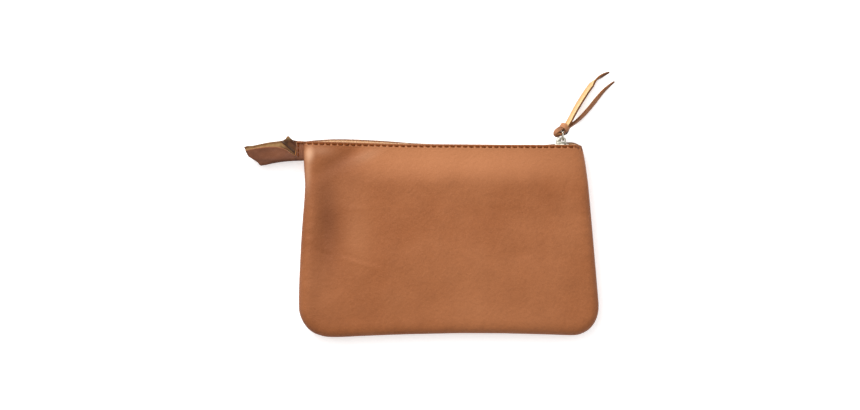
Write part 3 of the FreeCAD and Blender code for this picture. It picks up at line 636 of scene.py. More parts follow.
def shell_height(x, y, side, d=None, along=None):
    """Height of the outer face above the seam plane (front) or below it (back)."""
    if d is None:
        d, along = seam_distance(x, y)
    t = np.clip(d / 8.5, 0, 1)
    roll = (1 - (1 - t) ** 2.25) ** (1 / 2.25)
    if side > 0:
        belly = 6.1 + 1.75 * (1 - np.exp(-((d / 24.0) ** 2)))
        belly += 0.26 * W60(x, y) + 0.07 * W24(x, y)
        belly += 0.02 * W9(x, y) + 0.008 * W4(x, y)
    else:
        belly = 6.6 + 1.9 * (1 - np.exp(-((d / 13.0) ** 2)))
        belly += 0.18 * B60(x, y) + 0.08 * B24(x, y) + 0.03 * B9(x, y)
    mouth = smooth01((y - 33.0) / 20.5)
    lip = 6.25 + 0.12 * np.sin(x / 9.0 + side) + 0.08 * np.sin(x / 3.7 + 2 * side)
    h = belly * (1 - mouth) + lip * mouth
    if side > 0:
        # the long hollow beside the left seam, and softer dents
        h -= 1.9 * bump2(x, y, -71.5, 6.0, 8.5, 32.0, 2)
        h += 0.75 * bump2(x, y, -56.0, 2.0, 8.0, 20.0, 4)
        h += 0.45 * bump2(x, y, -83.0, 49.0, 3.4, 5.0)
        h -= 0.45 * bump2(x, y, -62.0, -30.0, 10.0, 9.0, 20)
        h -= 0.50 * bump2(x, y, 28.0, 14.0, 20.0, 8.0, -8)
        h -= 0.40 * bump2(x, y, 42.0, -8.0, 15.0, 6.0, 12)
        h += 0.45 * bump2(x, y, -22.0, 8.0, 24.0, 22.0)
        h -= 0.35 * bump2(x, y, 8.0, -30.0, 26.0, 9.0, 4)
        h += 0.35 * bump2(x, y, 62.0, -28.0, 15.0, 15.0)
        h += crease(x, y, [(-51.0, 57.5), (-57.0, 52.0), (-65.0, 46.5), (-76.0, 40.5), (-82.0, 34.0)], 4.4, 0.85, 0.12)
        h += crease(x, y, [(-44.0, 53.5), (-52.0, 49.0), (-60.0, 45.0), (-66.0, 42.0)], 1.8, -0.16, 0.2)
        h += crease(x, y, [(-85.5, -2.0), (-79.0, -8.0), (-73.0, -10.5), (-66.0, -11.0)], 1.7, 0.22)
        h += crease(x, y, [(-72.0, -10.5), (-60.0, -13.5), (-48.0, -17.0), (-38.0, -19.2)], 1.6, -0.26, 0.4)
        h += crease(x, y, [(-68.0, 22.0), (-62.0, 18.0), (-52.0, 17.0), (-44.0, 20.0)], 1.8, -0.16, 0.4)
        h += crease(x, y, [(20.0, 20.0), (30.0, 17.5), (41.0, 18.5)], 1.8, 0.14, 0.6)
        h += crease(x, y, [(74.0, 40.0), (70.0, 33.0), (69.5, 26.0)], 1.8, 0.16, 0.5)
    # puckers where the turned seam gathers the leather
    puck = np.sin(along / 1.35 + 1.7 * np.sin(along / 7.1) + 0.9 * np.sin(along / 3.3 + side))
    gate = 0.5 + 0.5 * np.sin(along / 11.0 + 2.0 * side)
    h += (0.045 + 0.075 * gate) * puck * np.exp(-(((d - 4.2) / 2.6) ** 2)) * (1 - mouth)
    h = 1.15 + (h - 1.15) * roll
    # the stitched line sinks in, more at each hole
    ys = stitch_y(x, side)
    on = smooth01((x + 90) / 3) * smooth01((79.5 - x) / 2)
    h -= 0.20 * np.exp(-(((y - ys) / 0.55) ** 2)) * on
    phase = (x - STITCH_X[0]) / 3.72
    dx = np.abs(phase - np.round(phase)) * 3.72
    h -= 0.40 * np.exp(-(((dx - 1.2) / 0.42) ** 2) - (((y - ys) / 0.5) ** 2)) * on
    h += 0.30 * np.exp(-(((dx - 1.86) / 0.34) ** 2) - (((y - ys) / 0.7) ** 2)) * on
    h += 0.14 * np.exp(-(((y - ys - 0.95) / 0.4) ** 2)) * on * (0.55 - 0.45 * np.cos(2 * np.pi * phase))
    h += 0.14 * np.exp(-(((y - ys + 0.95) / 0.5) ** 2)) * on * (0.55 - 0.45 * np.cos(2 * np.pi * phase))
    return h


def apply_modifiers(ob):
    dg = bpy.context.evaluated_depsgraph_get()
    me = bpy.data.meshes.new_from_object(ob.evaluated_get(dg), preserve_all_data_layers=True, depsgraph=dg)
    old = ob.data
    ob.modifiers.clear()
    ob.data = me
    bpy.data.meshes.remove(old)


def shell_panel(name, side):
    nu = 360
    a = np.linspace(-1, 1, nu)
    u = 0.5 * (1 + 0.52 * np.sin(a * math.pi / 2) + 0.48 * a)
    v = np.concatenate([0.11 * np.linspace(0, 1, 24) ** 1.5, np.linspace(0.11, 0.925, 100)[1:], np.linspace(0.925, 1.0, 34)[1:]])
    nv = len(v)
    bl, br = np.array(BOTTOM[0]), np.array(BOTTOM[-1])
    tl, tr = np.array(LEFT[0]), np.array(RIGHT[-1])
    B = polyline(BOTTOM, u)
    T = polyline(FRONT_LIP if side > 0 else BACK_LIP, u)
    T[0], T[-1] = tl, tr
    L = polyline(LEFT, 1 - v)
    R = polyline(RIGHT, v)
    U, V = np.meshgrid(u, v)
    P = ((1 - V)[..., None] * B[None] + V[..., None] * T[None] + (1 - U)[..., None] * L[:, None] + U[..., None] * R[:, None]
         - (1 - U)[..., None] * (1 - V)[..., None] * bl - U[..., None] * (1 - V)[..., None] * br
         - (1 - U)[..., None] * V[..., None] * tl - U[..., None] * V[..., None] * tr)
    x, y = P[..., 0], P[..., 1]
    d, along = seam_distance(x, y)
    d[:, 0] = d[:, -1] = 0.0
    d[0, :] = 0.0
    h = shell_height(x, y, side, d, along)
    # the cut edge at the mouth is burnished round
    h[-1] -= 0.30
    h[-2] -= 0.10
    z = ZM + side * h
    if side < 0:
        z = np.maximum(z, 0.03 + 0.0 * z)
    verts = np.stack([x, y, z], axis=-1).reshape(-1, 3)
    idx = np.arange(nu * nv).reshape(nv, nu)
    faces = []
    for j in range(nv - 1):
        for i in range(nu - 1):
            q = (idx[j, i], idx[j, i + 1], idx[j + 1, i + 1], idx[j + 1, i])
            faces.append(q if side > 0 else q[::-1])
    # the turned edge rolls in to the seam
    loop = list(idx[::-1, 0]) + list(idx[0, 1:]) + list(idx[1:, -1])
    pts = verts[loop]
    tan = np.gradient(pts[:, :2], axis=0)
    tan /= np.linalg.norm(tan, axis=1)[:, None]
    inward = np.stack([-tan[:, 1], tan[:, 0]], axis=1)
    s = np.concatenate([[0], np.cumsum(np.linalg.norm(np.diff(pts[:, :2], axis=0), axis=1))])
    prev = loop
    all_verts = [verts]
    count = len(verts)
    for inset, up in ((0.10, 0.62), (0.45, 0.22), (1.10, 0.06), (2.6, 0.03)):
        wob = 1.0 + 0.25 * np.sin(s / 1.6 + side) * (inset < 1)
        ring = np.stack([pts[:, 0] + inward[:, 0] * inset * wob, pts[:, 1] + inward[:, 1] * inset * wob, np.full(len(pts), ZM + side * up)], axis=1)
        all_verts.append(ring)
        ids = list(range(count, count + len(ring)))
        count += len(ring)
        for k in range(len(ids) - 1):
            q = (prev[k], prev[k + 1], ids[k + 1], ids[k])
            faces.append(q if side < 0 else q[::-1])
        prev = ids
    verts = np.concatenate(all_verts)
    ob = mesh_object(name, verts, faces, (M_SHELL, M_FLESH, M_EDGE))
    # colour: painted shade in the hollows and creases and on the turned edges, painted light on the band under the
    # mouth
    n0 = nu * nv
    shade = np.zeros(len(verts))
    glow = np.zeros(len(verts))
    edge = np.exp(-((d / 2.6) ** 2))
    # painted shade on the turned seam edges, plus a little random tone
    sh = 0.45 * edge + 0.05 * (1 + W24(x, y)) * 0.5
    if side > 0:
        # painted shade in the long left hollow, the upper-left fold and the softer dents
        sh += 0.50 * bump2(x, y, -74.5, 8.0, 8.0, 28.0, 2) + 0.20 * bump2(x, y, -66.0, 12.0, 12.0, 28.0) + 0.24 * bump2(x, y, -80.0, -32.0, 6.0, 24.0)
        sh += 0.10 * bump2(x, y, -60.0, 38.0, 22.0, 12.0) + 0.10 * bump2(x, y, -66.0, -44.0, 18.0, 12.0) + 0.08 * bump2(x, y, -58.0, 6.0, 8.0, 20.0)
        sh += 0.26 * bump2(x, y, -66.0, 47.0, 13.0, 6.0, 34) + 0.12 * bump2(x, y, -74.0, 30.0, 8.0, 12.0)
        # painted light on the band under the mouth, the top-left corner, the left edge, the ridges and the raised
        # swells
        gl = (0.50 + 0.32 * np.exp(-(((x + 5.0) / 38.0) ** 2))) * smooth01((y - 29) / 19) * smooth01((x + 62) / 18) * (1 - 0.5 * smooth01((x - 60) / 20))
        gl = gl + 1.0 * bump2(x, y, -84.4, 50.5, 2.6, 3.6) + 0.35 * bump2(x, y, -84.8, 42.0, 2.2, 9.0) + 0.38 * bump2(x, y, -54.0, 0.0, 9.0, 22.0) + 0.15 * bump2(x, y, -66.0, -38.0, 14.0, 14.0) + 0.08 * np.clip(W60(x, y), 0, 1)
        gl = gl + 0.12 * bump2(x, y, 10.0, -10.0, 60.0, 34.0) + 0.22 * bump2(x, y, 0.0, -44.0, 40.0, 12.0)
    else:
        # painted light on the back panel's raised swells
        gl = 0.15 * np.clip(B60(x, y), 0, 1)
    # painted shade in the stitch holes, darker above the stitch line and along the lip's top edge, and a painted
    # highlight on the leather bulging between stitches
    ys = stitch_y(x, side)
    phase = (x - STITCH_X[0]) / 3.72
    dx = np.abs(phase - np.round(phase)) * 3.72
    sh += 0.85 * np.exp(-(((y - ys) / 0.62) ** 2)) * smooth01((1.62 - dx) / 0.5)
    sh += 0.22 * smooth01((y - ys - 0.3) / 0.8) + 0.50 * smooth01((y - lip_y(x, side) + 0.5) / 0.45)
    gl = gl * (1 - 0.6 * smooth01((y - ys + 1.2) / 1.0)) + 0.55 * np.exp(-(((y - ys + 0.1) / 0.75) ** 2)) * smooth01((dx - 1.45) / 0.3)
    shade[:n0] = np.clip(sh, 0, 0.9).ravel()
    # painted shade on the rolled-under edge rings
    shade[n0:] = 0.75
    glow[:n0] = np.clip(gl, 0, 0.9).ravel()
    pale = np.zeros(len(verts))
    if side > 0:
        # painted pale highlight at the top-left corner, along the left edge and on two patches near the top
        pl = 0.52 * bump2(x, y, -84.2, 49.5, 2.4, 4.0) + 0.22 * bump2(x, y, -85.0, 38.0, 1.8, 12.0) + 0.16 * bump2(x, y, -78.0, 52.0, 7.0, 3.0) + 0.14 * bump2(x, y, -50.0, 49.0, 9.0, 3.0, 25)
        pale[:n0] = np.clip(pl, 0, 0.9).ravel()
    add_attr(ob, "pale", pale)
    add_attr(ob, "shade", shade)
    add_attr(ob, "glow", glow)
    fix_normals(ob)
    # the leather is skived thin where it is turned and seamed
    skive = ob.vertex_groups.new(name="skive")
    thick = np.full(len(verts), 0.3)
    thick[:n0] = (0.3 + 0.7 * smooth01((d - 0.4) / 3.0)).ravel()
    for k in range(len(verts)):
        skive.add([k], float(thick[k]), "REPLACE")
    m = ob.modifiers.new("leather", "SOLIDIFY")
    m.vertex_group = "skive"
    m.thickness = 1.3 * MM
    m.offset = -1.0
    m.use_even_offset = False
    m.material_offset = 1
    m.material_offset_rim = 2
    apply_modifiers(ob)
    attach(ob, "root")
    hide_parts("front_panel" if side > 0 else "back_panel")
    return ob


front = shell_panel("front_shell", 1)
back = shell_panel("back_shell", -1)


# ----------------------------------------------------------------- stitches
def stitch_mesh(name, places, strand=0.30, mat=M_THREAD):
    """Two-ply stitches. Each place is (centre, along, up, length)."""
    verts, faces = [], []
    rings, sides = 17, 7
    for c, along, up, length in places:
        c, along, up = np.array(c, float), np.array(along, float), np.array(up, float)
        along /= np.linalg.norm(along)
        up -= along * up.dot(along)
        up /= np.linalg.norm(up)
        side = np.cross(along, up)
        ph = rnd.uniform(0, 6.28)
        for ply in (0, 1):
            base = len(verts)
            for i in range(rings):
                s = -1 + 2 * i / (rings - 1)
                lift = 0.20 * (1 - abs(s) ** 3.0) - 0.42 * max(0.0, abs(s) - 0.74) / 0.26
                p = c + along * (s * length / 2) + up * lift
                a = ph + math.pi * ply + s * length * 2.3
                p = p + (side * math.cos(a) + up * math.sin(a)) * 0.20
                r = strand * (1.0 - 0.25 * abs(s) ** 4)
                for k in range(sides):
                    b = 2 * math.pi * k / sides
                    verts.append(p + side * math.cos(b) * r + up * math.sin(b) * r)
            for i in range(rings - 1):
                for k in range(sides):
                    k2 = (k + 1) % sides
                    faces.append((base + i * sides + k, base + i * sides + k2, base + (i + 1) * sides + k2, base + (i + 1) * sides + k))
            faces.append(tuple(base + k for k in range(sides))[::-1])
            faces.append(tuple(base + (rings - 1) * sides + k for k in range(sides)))
    ob = mesh_object(name, verts, faces, (mat,))
    fix_normals(ob)
    return ob


def topstitch(name, side, node):
    xs = STITCH_X
    ys = stitch_y(xs, side)
    h = shell_height(xs, ys + 0.0, side)
    places = []
    for x, y, hh in zip(xs, ys, h):
        if side < 0 and x < -83.0:
            continue
        slope = float(stitch_y(np.array([x + 1.0]), side)[0] - stitch_y(np.array([x - 1.0]), side)[0]) / 2
        tilt = 0.045 + rnd.uniform(-0.03, 0.03)
        places.append(((x, y + rnd.uniform(-0.05, 0.05), ZM + side * (hh + 0.05)), (1.0, slope - tilt * 1.0, 0.0), (0, 0.05, side), 2.35 + rnd.uniform(-0.1, 0.1)))
    ob = stitch_mesh(name, places)
    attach(ob, "root")
    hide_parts(node)
    return ob


topstitch("front_stitching", 1, "front_topstitch")
topstitch("back_stitching", -1, "back_topstitch")


# -------------------------------------------------------------- folded tab
TAB_FOLD = [(-87.6, 46.3), (-93.6, 46.05), (-98.4, 45.65), (-103.2, 45.0), (-106.8, 44.3), (-110.4, 43.4), (-113.3, 42.95)]
TAB_FRONT = [(-87.6, 57.35), (-90.0, 57.3), (-91.7, 57.25), (-92.2, 56.2), (-92.6, 50.4), (-93.1, 48.6), (-96.1, 50.6), (-98.2, 52.1), (-100.3, 53.1), (-104.5, 54.0), (-108.7, 53.95), (-112.7, 53.5), (-116.5, 53.0), (-122.4, 51.5)]
TAB_BACK = [(-87.6, 57.5), (-92.0, 57.6), (-94.6, 58.1), (-96.2, 59.4), (-97.4, 60.3), (-98.6, 58.7), (-100.2, 57.75), (-103.4, 57.3), (-108.2, 56.6), (-111.8, 55.85), (-115.4, 55.0), (-118.9, 54.3), (-122.0, 54.2), (-123.9, 53.4)]
TAB_END = [(0.0, -113.3), (0.28, -117.9), (0.52, -121.3), (0.78, -122.8), (1.0, -123.8)]


def tab():
    ns, nt_ = 90, 61
    fold = np.array(TAB_FOLD)[::-1]
    ft = np.array(TAB_FRONT)[::-1]
    bt = np.array(TAB_BACK)[::-1]
    verts = np.zeros((nt_, ns, 3))
    wav = Waves(31, 14, 24)
    wav2 = Waves(33, 5, 24)
    for j in range(nt_):
        t = j / (nt_ - 1)            # 0 front leaf's top, 0.5 fold, 1 back leaf's top
        f = abs(t - 0.5) * 2         # 0 at the fold, 1 at a top edge
        level = max(0.0, (f - 0.12) / 0.88)
        s = np.linspace(0, 1, ns)
        end = np.interp(f, [p[0] for p in TAB_END], [p[1] for p in TAB_END])
        if t < 0.5:
            end = end + 1.1 * f
        x = -87.6 + s * (end + 87.6)
        yb = np.interp(x, fold[:, 0], fold[:, 1])
        yb = np.where(x < -113.3, 42.95 + 0.0 * x, yb)
        yt = np.interp(x, ft[:, 0], ft[:, 1]) if t < 0.5 else np.interp(x, bt[:, 0], bt[:, 1])
        # left of the fold's end the section starts on the angled cut
        fr = 1.25
        gape = 0.15 + 1.1 * smooth01((-x - 96) / 22.0)
        if f < 0.12:
            a = f / 0.12 * (math.pi / 2)
            y = yb + fr * (1 - math.cos(a))
            zz = fr * math.sin(a)
        else:
            y = yb + fr + (yt - yb - fr) * level
            zz = fr + gape * level ** 1.4 * (0.55 if t < 0.5 else 1.0)
        sgn = 1 if t < 0.5 else -1
        z = ZM + sgn * zz
        cut = np.interp(x, [-123.9, -123.3, -121.5, -117.8, -113.3], [53.4, 50.6, 48.0, 45.6, 42.95])
        y = np.where(x < -113.3, np.maximum(y, cut), y)
        # a soft fold running down from the top near the pouch, and a general warp
        dist = (x + 99.4) * 0.65 + (y - 55.7) * 0.76
        if t > 0.5:
            z = z + (-0.5 * np.exp(-((dist / 0.6) ** 2)) + 1.5 * np.exp(-(((dist - 1.7) / 1.15) ** 2))) * smooth01((level - 0.15) / 0.3) * smooth01((x + 101.5) / 2.0) * smooth01((-91.9 - x) / 1.2)
            z = z + 0.5 * np.exp(-(((dist + 2.2) / 0.8) ** 2)) * smooth01((level - 0.2) / 0.3) * smooth01((x + 103.0) / 3.0) * smooth01((-92.5 - x) / 1.2)
        else:
            # gathered ribs where it is sewn down
            z = z + 0.16 * np.sin((x + 87.6) * 2 * math.pi / 1.25 + 0.5 * np.sin(y * 0.9)) * smooth01((x + 91.9) / 0.6) * smooth01((level - 0.1) / 0.3)
        z = z + 0.28 * wav(x + 40 * (t > 0.5), y) * smooth01((-x - 90) / 8.0) + 0.06 * wav2(x, y) * smooth01((-x - 90) / 8.0)
        # the corner of the back leaf stands up
        if t > 0.5:
            z = z + 2.6 * np.exp(-(((x + 97.3) / 2.6) ** 2)) * max(0.0, level - 0.72) / 0.28
        # sewn down at the seam
        z = z - sgn * 0.35 * np.exp(-(((x + 92.2) / 0.7) ** 2)) * smooth01((level - 0.05) / 0.2)
        verts[j, :, 0], verts[j, :, 1], verts[j, :, 2] = x, y, z
    idx = np.arange(nt_ * ns).reshape(nt_, ns)
    faces = [(idx[j, i], idx[j, i + 1], idx[j + 1, i + 1], idx[j + 1, i]) for j in range(nt_ - 1) for i in range(ns - 1)]
    flat = verts.reshape(-1, 3)
    ob = mesh_object("zip_tail_tab", flat, faces, (M_TAB, M_TAB_FLESH, M_TAB_EDGE))
    x, y = flat[:, 0], flat[:, 1]
    row = np.repeat(np.linspace(0, 1, nt_), ns)
    on_front = (row < 0.5).astype(float)
    top = np.interp(x, bt[:, 0], bt[:, 1])
    dist = (x + 99.4) * 0.65 + (y - 55.7) * 0.76
    near = smooth01((x + 102.5) / 2.5) * smooth01((-91.5 - x) / 1.0)
    # painted shade along the sewn-down line, under the fold, in the creases, over the back leaf's notch and below its
    # top edge; darker towards the angled cut end
    sh_front = 0.10 + 0.30 * np.exp(-(((x + 92.2) / 0.9) ** 2)) + 0.45 * np.exp(-(((y - 45.4) / 1.2) ** 2)) + 0.25 * bump2(x, y, -95.5, 49.0, 4.0, 2.5)
    sh_front += 0.5 * smooth01((-120.0 - x) / 2.0) + 0.20 * bump2(x, y, -118.0, 49.5, 3.0, 1.2, -30) + 0.15 * bump2(x, y, -112.0, 51.5, 4.0, 1.0, 10)
    sh_back = 0.65 * np.exp(-(((top - y - 0.75) / 0.55) ** 2)) * smooth01((-x - 98.0) / 3.0) + near * (0.95 * np.exp(-((dist / 0.55) ** 2)) + 0.28 * smooth01((dist - 0.6) / 1.2) + 0.75 * np.exp(-(((dist - 3.5) / 0.45) ** 2))) + 0.6 * near * np.exp(-(((dist + 2.4) / 0.5) ** 2)) + 0.50 * near * smooth01((x + 100.5) / 2.0) + 0.15 * near + 0.35 * smooth01((-120.5 - x) / 1.5)
    # painted light on the front leaf's top rim, two lit patches and the standing corner of the back leaf
    gl_front = 0.35 * bump2(x, y, -105.0, 49.5, 9.0, 2.6, 6) + 0.55 * bump2(x, y, -89.6, 53.5, 1.6, 3.6) + 0.9 * (np.abs(row) < 0.02)
    gl_back = 0.75 * bump2(x, y, -97.4, 59.6, 2.2, 1.3) + 0.30 * np.exp(-(((top - y - 2.2) / 0.8) ** 2)) * smooth01((-x - 100) / 4)
    add_attr(ob, "shade", np.clip(on_front * sh_front + (1 - on_front) * sh_back, 0, 1))
    add_attr(ob, "glow", np.clip(on_front * gl_front + (1 - on_front) * gl_back, 0, 1))
    fix_normals(ob)
    # the grain side looks outwards: towards +Z on the front leaf
    me = ob.data
    c = [p for p in me.polygons if p.center.z > (ZM + 1) * MM and p.center.x > -0.110]
    if sum(p.normal.z for p in c) < 0:
        me.flip_normals()
    m = ob.modifiers.new("leather", "SOLIDIFY")
    m.thickness = 1.15 * MM
    m.offset = 0.0
    m.material_offset = 1
    m.material_offset_rim = 2
    apply_modifiers(ob)
    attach(ob, "root")
    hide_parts("zip_tab")
    return ob


tab()
places = []
for k, y in enumerate((48.3, 51.0, 53.7)):
    places.append(((-91.1, y + 1.0, ZM + 1.25 + 0.62 + 0.12), (0.04, 1.0, 0), (0, 0, 1), 2.2))
for x in (-90.9, -88.3):
    places.append(((x, 56.25, ZM + 1.25 + 0.72 + 0.2), (1.0, 0.02, 0), (0, 0, 1), 2.2))
tab_thread = stitch_mesh("tab_stitching", places, strand=0.2)
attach(tab_thread, "root")
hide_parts("tab_stitch")


# ---------------------------------------------------------------------- zip
CHAIN_Y = 55.7
DROP = CHAIN_Y - 57.0         # the parts below are drawn about y = 57


def spread_at(x):
    return 1.25 * np.clip((x - 64.5) / 3.5, 0, 1)


def zip_tape(name, side, node):
    xs = np.concatenate([np.linspace(-92.4, -74.0, 60), np.linspace(-73.5, 62.0, 130), np.linspace(62.5, 76.0, 40)])
    sect = [(47.9, 4.68), (50.0, 4.68), (52.5, 4.67), (54.4, 4.66), (55.5, 4.62), (56.05, 4.45), (56.25, 4.1), (56.12, 3.6), (55.85, 3.05), (55.7, 2.4), (55.7, 1.25)]
    rib = Waves(41 + side, 9, 20)
    verts, nsec = [], len(sect)
    for x in xs:
        w = float(smooth01((-76.0 - x) / 10.5))
        sp = float(spread_at(np.array(x)))
        for k, (y, z) in enumerate(sect):
            f = smooth01((4.6 - z) / 3.35)
            zz = z + sp * float(f)
            yy = y
            yf = 47.9 + 8.9 * k / (nsec - 1)
            zf = 0.36
            yy, zz = yy + (yf - yy) * w, zz + (zf - zz) * w
            zz += 0.05 * float(rib(np.array(x), np.array(y * 3.0))) * (1 - w) * float(smooth01((y - 52) / 2))
            verts.append((x, yy, ZM + side * zz))
    n = len(xs)
    faces = [(i * nsec + k, i * nsec + k + 1, (i + 1) * nsec + k + 1, (i + 1) * nsec + k) for i in range(n - 1) for k in range(nsec - 1)]
    ob = mesh_object(name, verts, faces, (M_TAPE,))
    fix_normals(ob)
    m = ob.modifiers.new("tape", "SOLIDIFY")
    m.thickness = 0.5 * MM
    m.offset = 0.0
    s = ob.modifiers.new("smooth", "SUBSURF")
    s.levels = s.render_levels = 1
    apply_modifiers(ob)
    # the bead that the teeth grip: a corded edge
    bv, bf = [], []
    bx = xs[(xs > -79.5)]
    bx = np.concatenate([[-80.4], bx])
    sides = 12
    for i, x in enumerate(bx):
        zc = 1.25 + float(spread_at(np.array(x)))
        for k in range(sides):
            a = 2 * math.pi * k / sides
            r = 0.53 + 0.035 * math.cos(2 * a + x * 3.2)
            bv.append((x, CHAIN_Y + r * math.sin(a), ZM + side * (zc + r * math.cos(a))))
    for i in range(len(bx) - 1):
        for k in range(sides):
            bf.append((i * sides + k, i * sides + (k + 1) % sides, (i + 1) * sides + (k + 1) % sides, (i + 1) * sides + k))
    bf.append(tuple(range(sides)))
    bf.append(tuple((len(bx) - 1) * sides + k for k in range(sides))[::-1])
    bead = mesh_object(name + "_bead", bv, bf, (M_TAPE,))
    fix_normals(bead)
    for o in (ob, bead):
        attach(o, "root")
    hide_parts(node)
    return ob


zip_tape("tape_front", 1, "front_zip_tape")
zip_tape("tape_back", -1, "back_zip_tape")


def bevelled(parts, name, mats, width=0.16, segments=2, drop=0.0):
    """One object from boxes or prisms, every edge rounded."""
    bm = bmesh.new()
    for verts, faces in parts:
        tmp = bmesh.new()
        vs = [tmp.verts.new(Vector((p[0], p[1] + drop, p[2])) * MM) for p in verts]
        for f in faces:
            tmp.faces.new([vs[i] for i in f])
        bmesh.ops.recalc_face_normals(tmp, faces=tmp.faces)
        bmesh.ops.bevel(tmp, geom=list(tmp.edges), offset=width * MM, segments=segments, profile=0.6, affect="EDGES", clamp_overlap=True)
        me = bpy.data.meshes.new("tmp")
        tmp.to_mesh(me)
        tmp.free()
        bm.from_mesh(me)
        bpy.data.meshes.remove(me)
    me = bpy.data.meshes.new(name)
    bm.to_mesh(me)
    bm.free()
    ob = bpy.data.objects.new(name, me)
    bpy.context.scene.collection.objects.link(ob)
    for m in mats:
        me.materials.append(m)
    for p in me.polygons:
        p.use_smooth = True
    return ob


def block(x0, x1, y0, y1, z0, z1):
    v = [(x, y, z) for x in (x0, x1) for y in (y0, y1) for z in (z0, z1)]
    f = [(0, 1, 3, 2), (4, 6, 7, 5), (0, 4, 5, 1), (2, 3, 7, 6), (0, 2, 6, 4), (1, 5, 7, 3)]
    return v, f


def prism_y(poly, y0, y1):
    """A prism along Y from (x, z) corners."""
    n = len(poly)
    v = [(x, y0, z) for x, z in poly] + [(x, y1, z) for x, z in poly]
    f = [tuple(range(n)), tuple(range(n, 2 * n))[::-1]] + [(i, (i + 1) % n, n + (i + 1) % n, n + i) for i in range(n)]
    return v, f


def prism_x(poly, x0, x1):
    n = len(poly)
    v = [(x0, y, z) for y, z in poly] + [(x1, y, z) for y, z in poly]
    f = [tuple(range(n)), tuple(range(n, 2 * n))[::-1]] + [(i, (i + 1) % n, n + (i + 1) % n, n + i) for i in range(n)]
    return v, f


def prism_z(poly, z0, z1):
    n = len(poly)
    v = [(x, y, z0) for x, y in poly] + [(x, y, z1) for x, y in poly]
    f = [tuple(range(n)), tuple(range(n, 2 * n))[::-1]] + [(i, (i + 1) % n, n + (i + 1) % n, n + i) for i in range(n)]
    return v, f


def one_tooth(side):
    """A stamped tooth: two legs clamped over the bead, and a cupped head. Built about x = 0."""
    s = side
    parts = [
        block(-0.58, 0.58, 57.5, 58.08, ZM + s * 0.55, ZM + s * 2.1),
        block(-0.58, 0.58, 55.92, 56.5, ZM + s * 0.55, ZM + s * 2.1),
        block(-0.58, 0.58, 55.92, 58.08, ZM + s * 0.35, ZM + s * 0.72),
        prism_y([(-0.42, ZM + s * 0.5), (-0.40, ZM - s * 0.05), (-0.2, ZM - s * 0.3), (0.2, ZM - s * 0.3), (0.40, ZM - s * 0.05), (0.42, ZM + s * 0.5)], 56.28, 57.72),
    ]
    return parts


def teeth_row(name, side, start, node):
    base = bevelled(one_tooth(side), name + "_one", (M_TEETH,), 0.11, 2, DROP)
    bv = np.array([v.co[:] for v in base.data.vertices]) / MM
    bfaces = [tuple(p.vertices) for p in base.data.polygons]
    bpy.data.objects.remove(base)
    verts, faces = [], []
    for i in range(72):
        x = start + 2.0 * i
        if x > 70.5:
            break
        sp = float(spread_at(np.array(x)))
        v = bv.copy()
        if 64.5 < x < 68.0:
            ang = math.atan2(1.25, 3.5) * side
            c, s_ = math.cos(ang), math.sin(ang)
            dx, dz = v[:, 0].copy(), v[:, 2] - (ZM + side * 1.25)
            v[:, 0] = dx * c - dz * s_
            v[:, 2] = ZM + side * 1.25 + dx * s_ + dz * c
        v = v + np.array([x, rnd.uniform(-0.02, 0.02), side * sp])
        faces.extend(tuple(len(verts) + q for q in f) for f in bfaces)
        verts.extend(v.tolist())
    ob = mesh_object(name, verts, faces, (M_TEETH,))
    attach(ob, "root")
    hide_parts(node)


teeth_row("teeth_front_row", 1, -73.0, "front_teeth")
teeth_row("teeth_back_row", -1, -72.0, "back_teeth")

for nm, s in (("top_stop_front", 1), ("top_stop_back", -1)):
    zc = ZM + s * 2.5
    o = bevelled([
        block(71.35, 73.45, 57.48, 58.05, zc - 0.9, zc + 0.9),
        block(71.35, 73.45, 55.95, 56.52, zc - 0.9, zc + 0.9),
        block(71.35, 73.45, 55.95, 58.05, zc - s * 0.9, zc - s * 0.5)], nm + "_clip", (M_TEETH,), 0.16, drop=DROP)
    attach(o, "root")
    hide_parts(nm)
o = bevelled([
    block(-76.6, -74.2, 57.5, 58.15, ZM - 2.2, ZM + 2.2),
    block(-76.6, -74.2, 55.85, 56.5, ZM - 2.2, ZM + 2.2),
    block(-76.6, -74.2, 55.85, 58.15, ZM - 0.7, ZM + 0.7)], "bottom_stop_clip", (M_TEETH,), 0.18, drop=DROP)
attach(o, "root")
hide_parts("bottom_stop")

# -------------------------------------------------------------------- slider
SX = 66.5
outline = [(SX - 4.4, ZM - 2.9), (SX - 4.0, ZM - 3.38), (SX - 1.0, ZM - 3.72), (SX + 1.3, ZM - 4.08), (SX + 2.6, ZM - 4.02), (SX + 3.7, ZM - 3.55), (SX + 4.4, ZM - 2.4),
           (SX + 4.4, ZM - 0.9), (SX + 4.15, ZM), (SX + 4.4, ZM + 0.9),
           (SX + 4.4, ZM + 2.4), (SX + 3.7, ZM + 3.55), (SX + 2.6, ZM + 4.02), (SX + 1.3, ZM + 4.08), (SX - 1.0, ZM + 3.72), (SX - 4.0, ZM + 3.38), (SX - 4.4, ZM + 2.9)]


def rail(s, y0, y1):
    out = [(SX - 4.3, ZM + s * 3.36), (SX - 1.0, ZM + s * 3.7), (SX + 1.3, ZM + s * 4.06), (SX + 2.5, ZM + s * 3.98)]
    inn = [(SX + 2.5, ZM + s * 3.5), (SX + 1.3, ZM + s * 3.6), (SX - 1.0, ZM + s * 3.24), (SX - 4.3, ZM + s * 2.92)]
    return prism_y(out + inn, y0, y1)


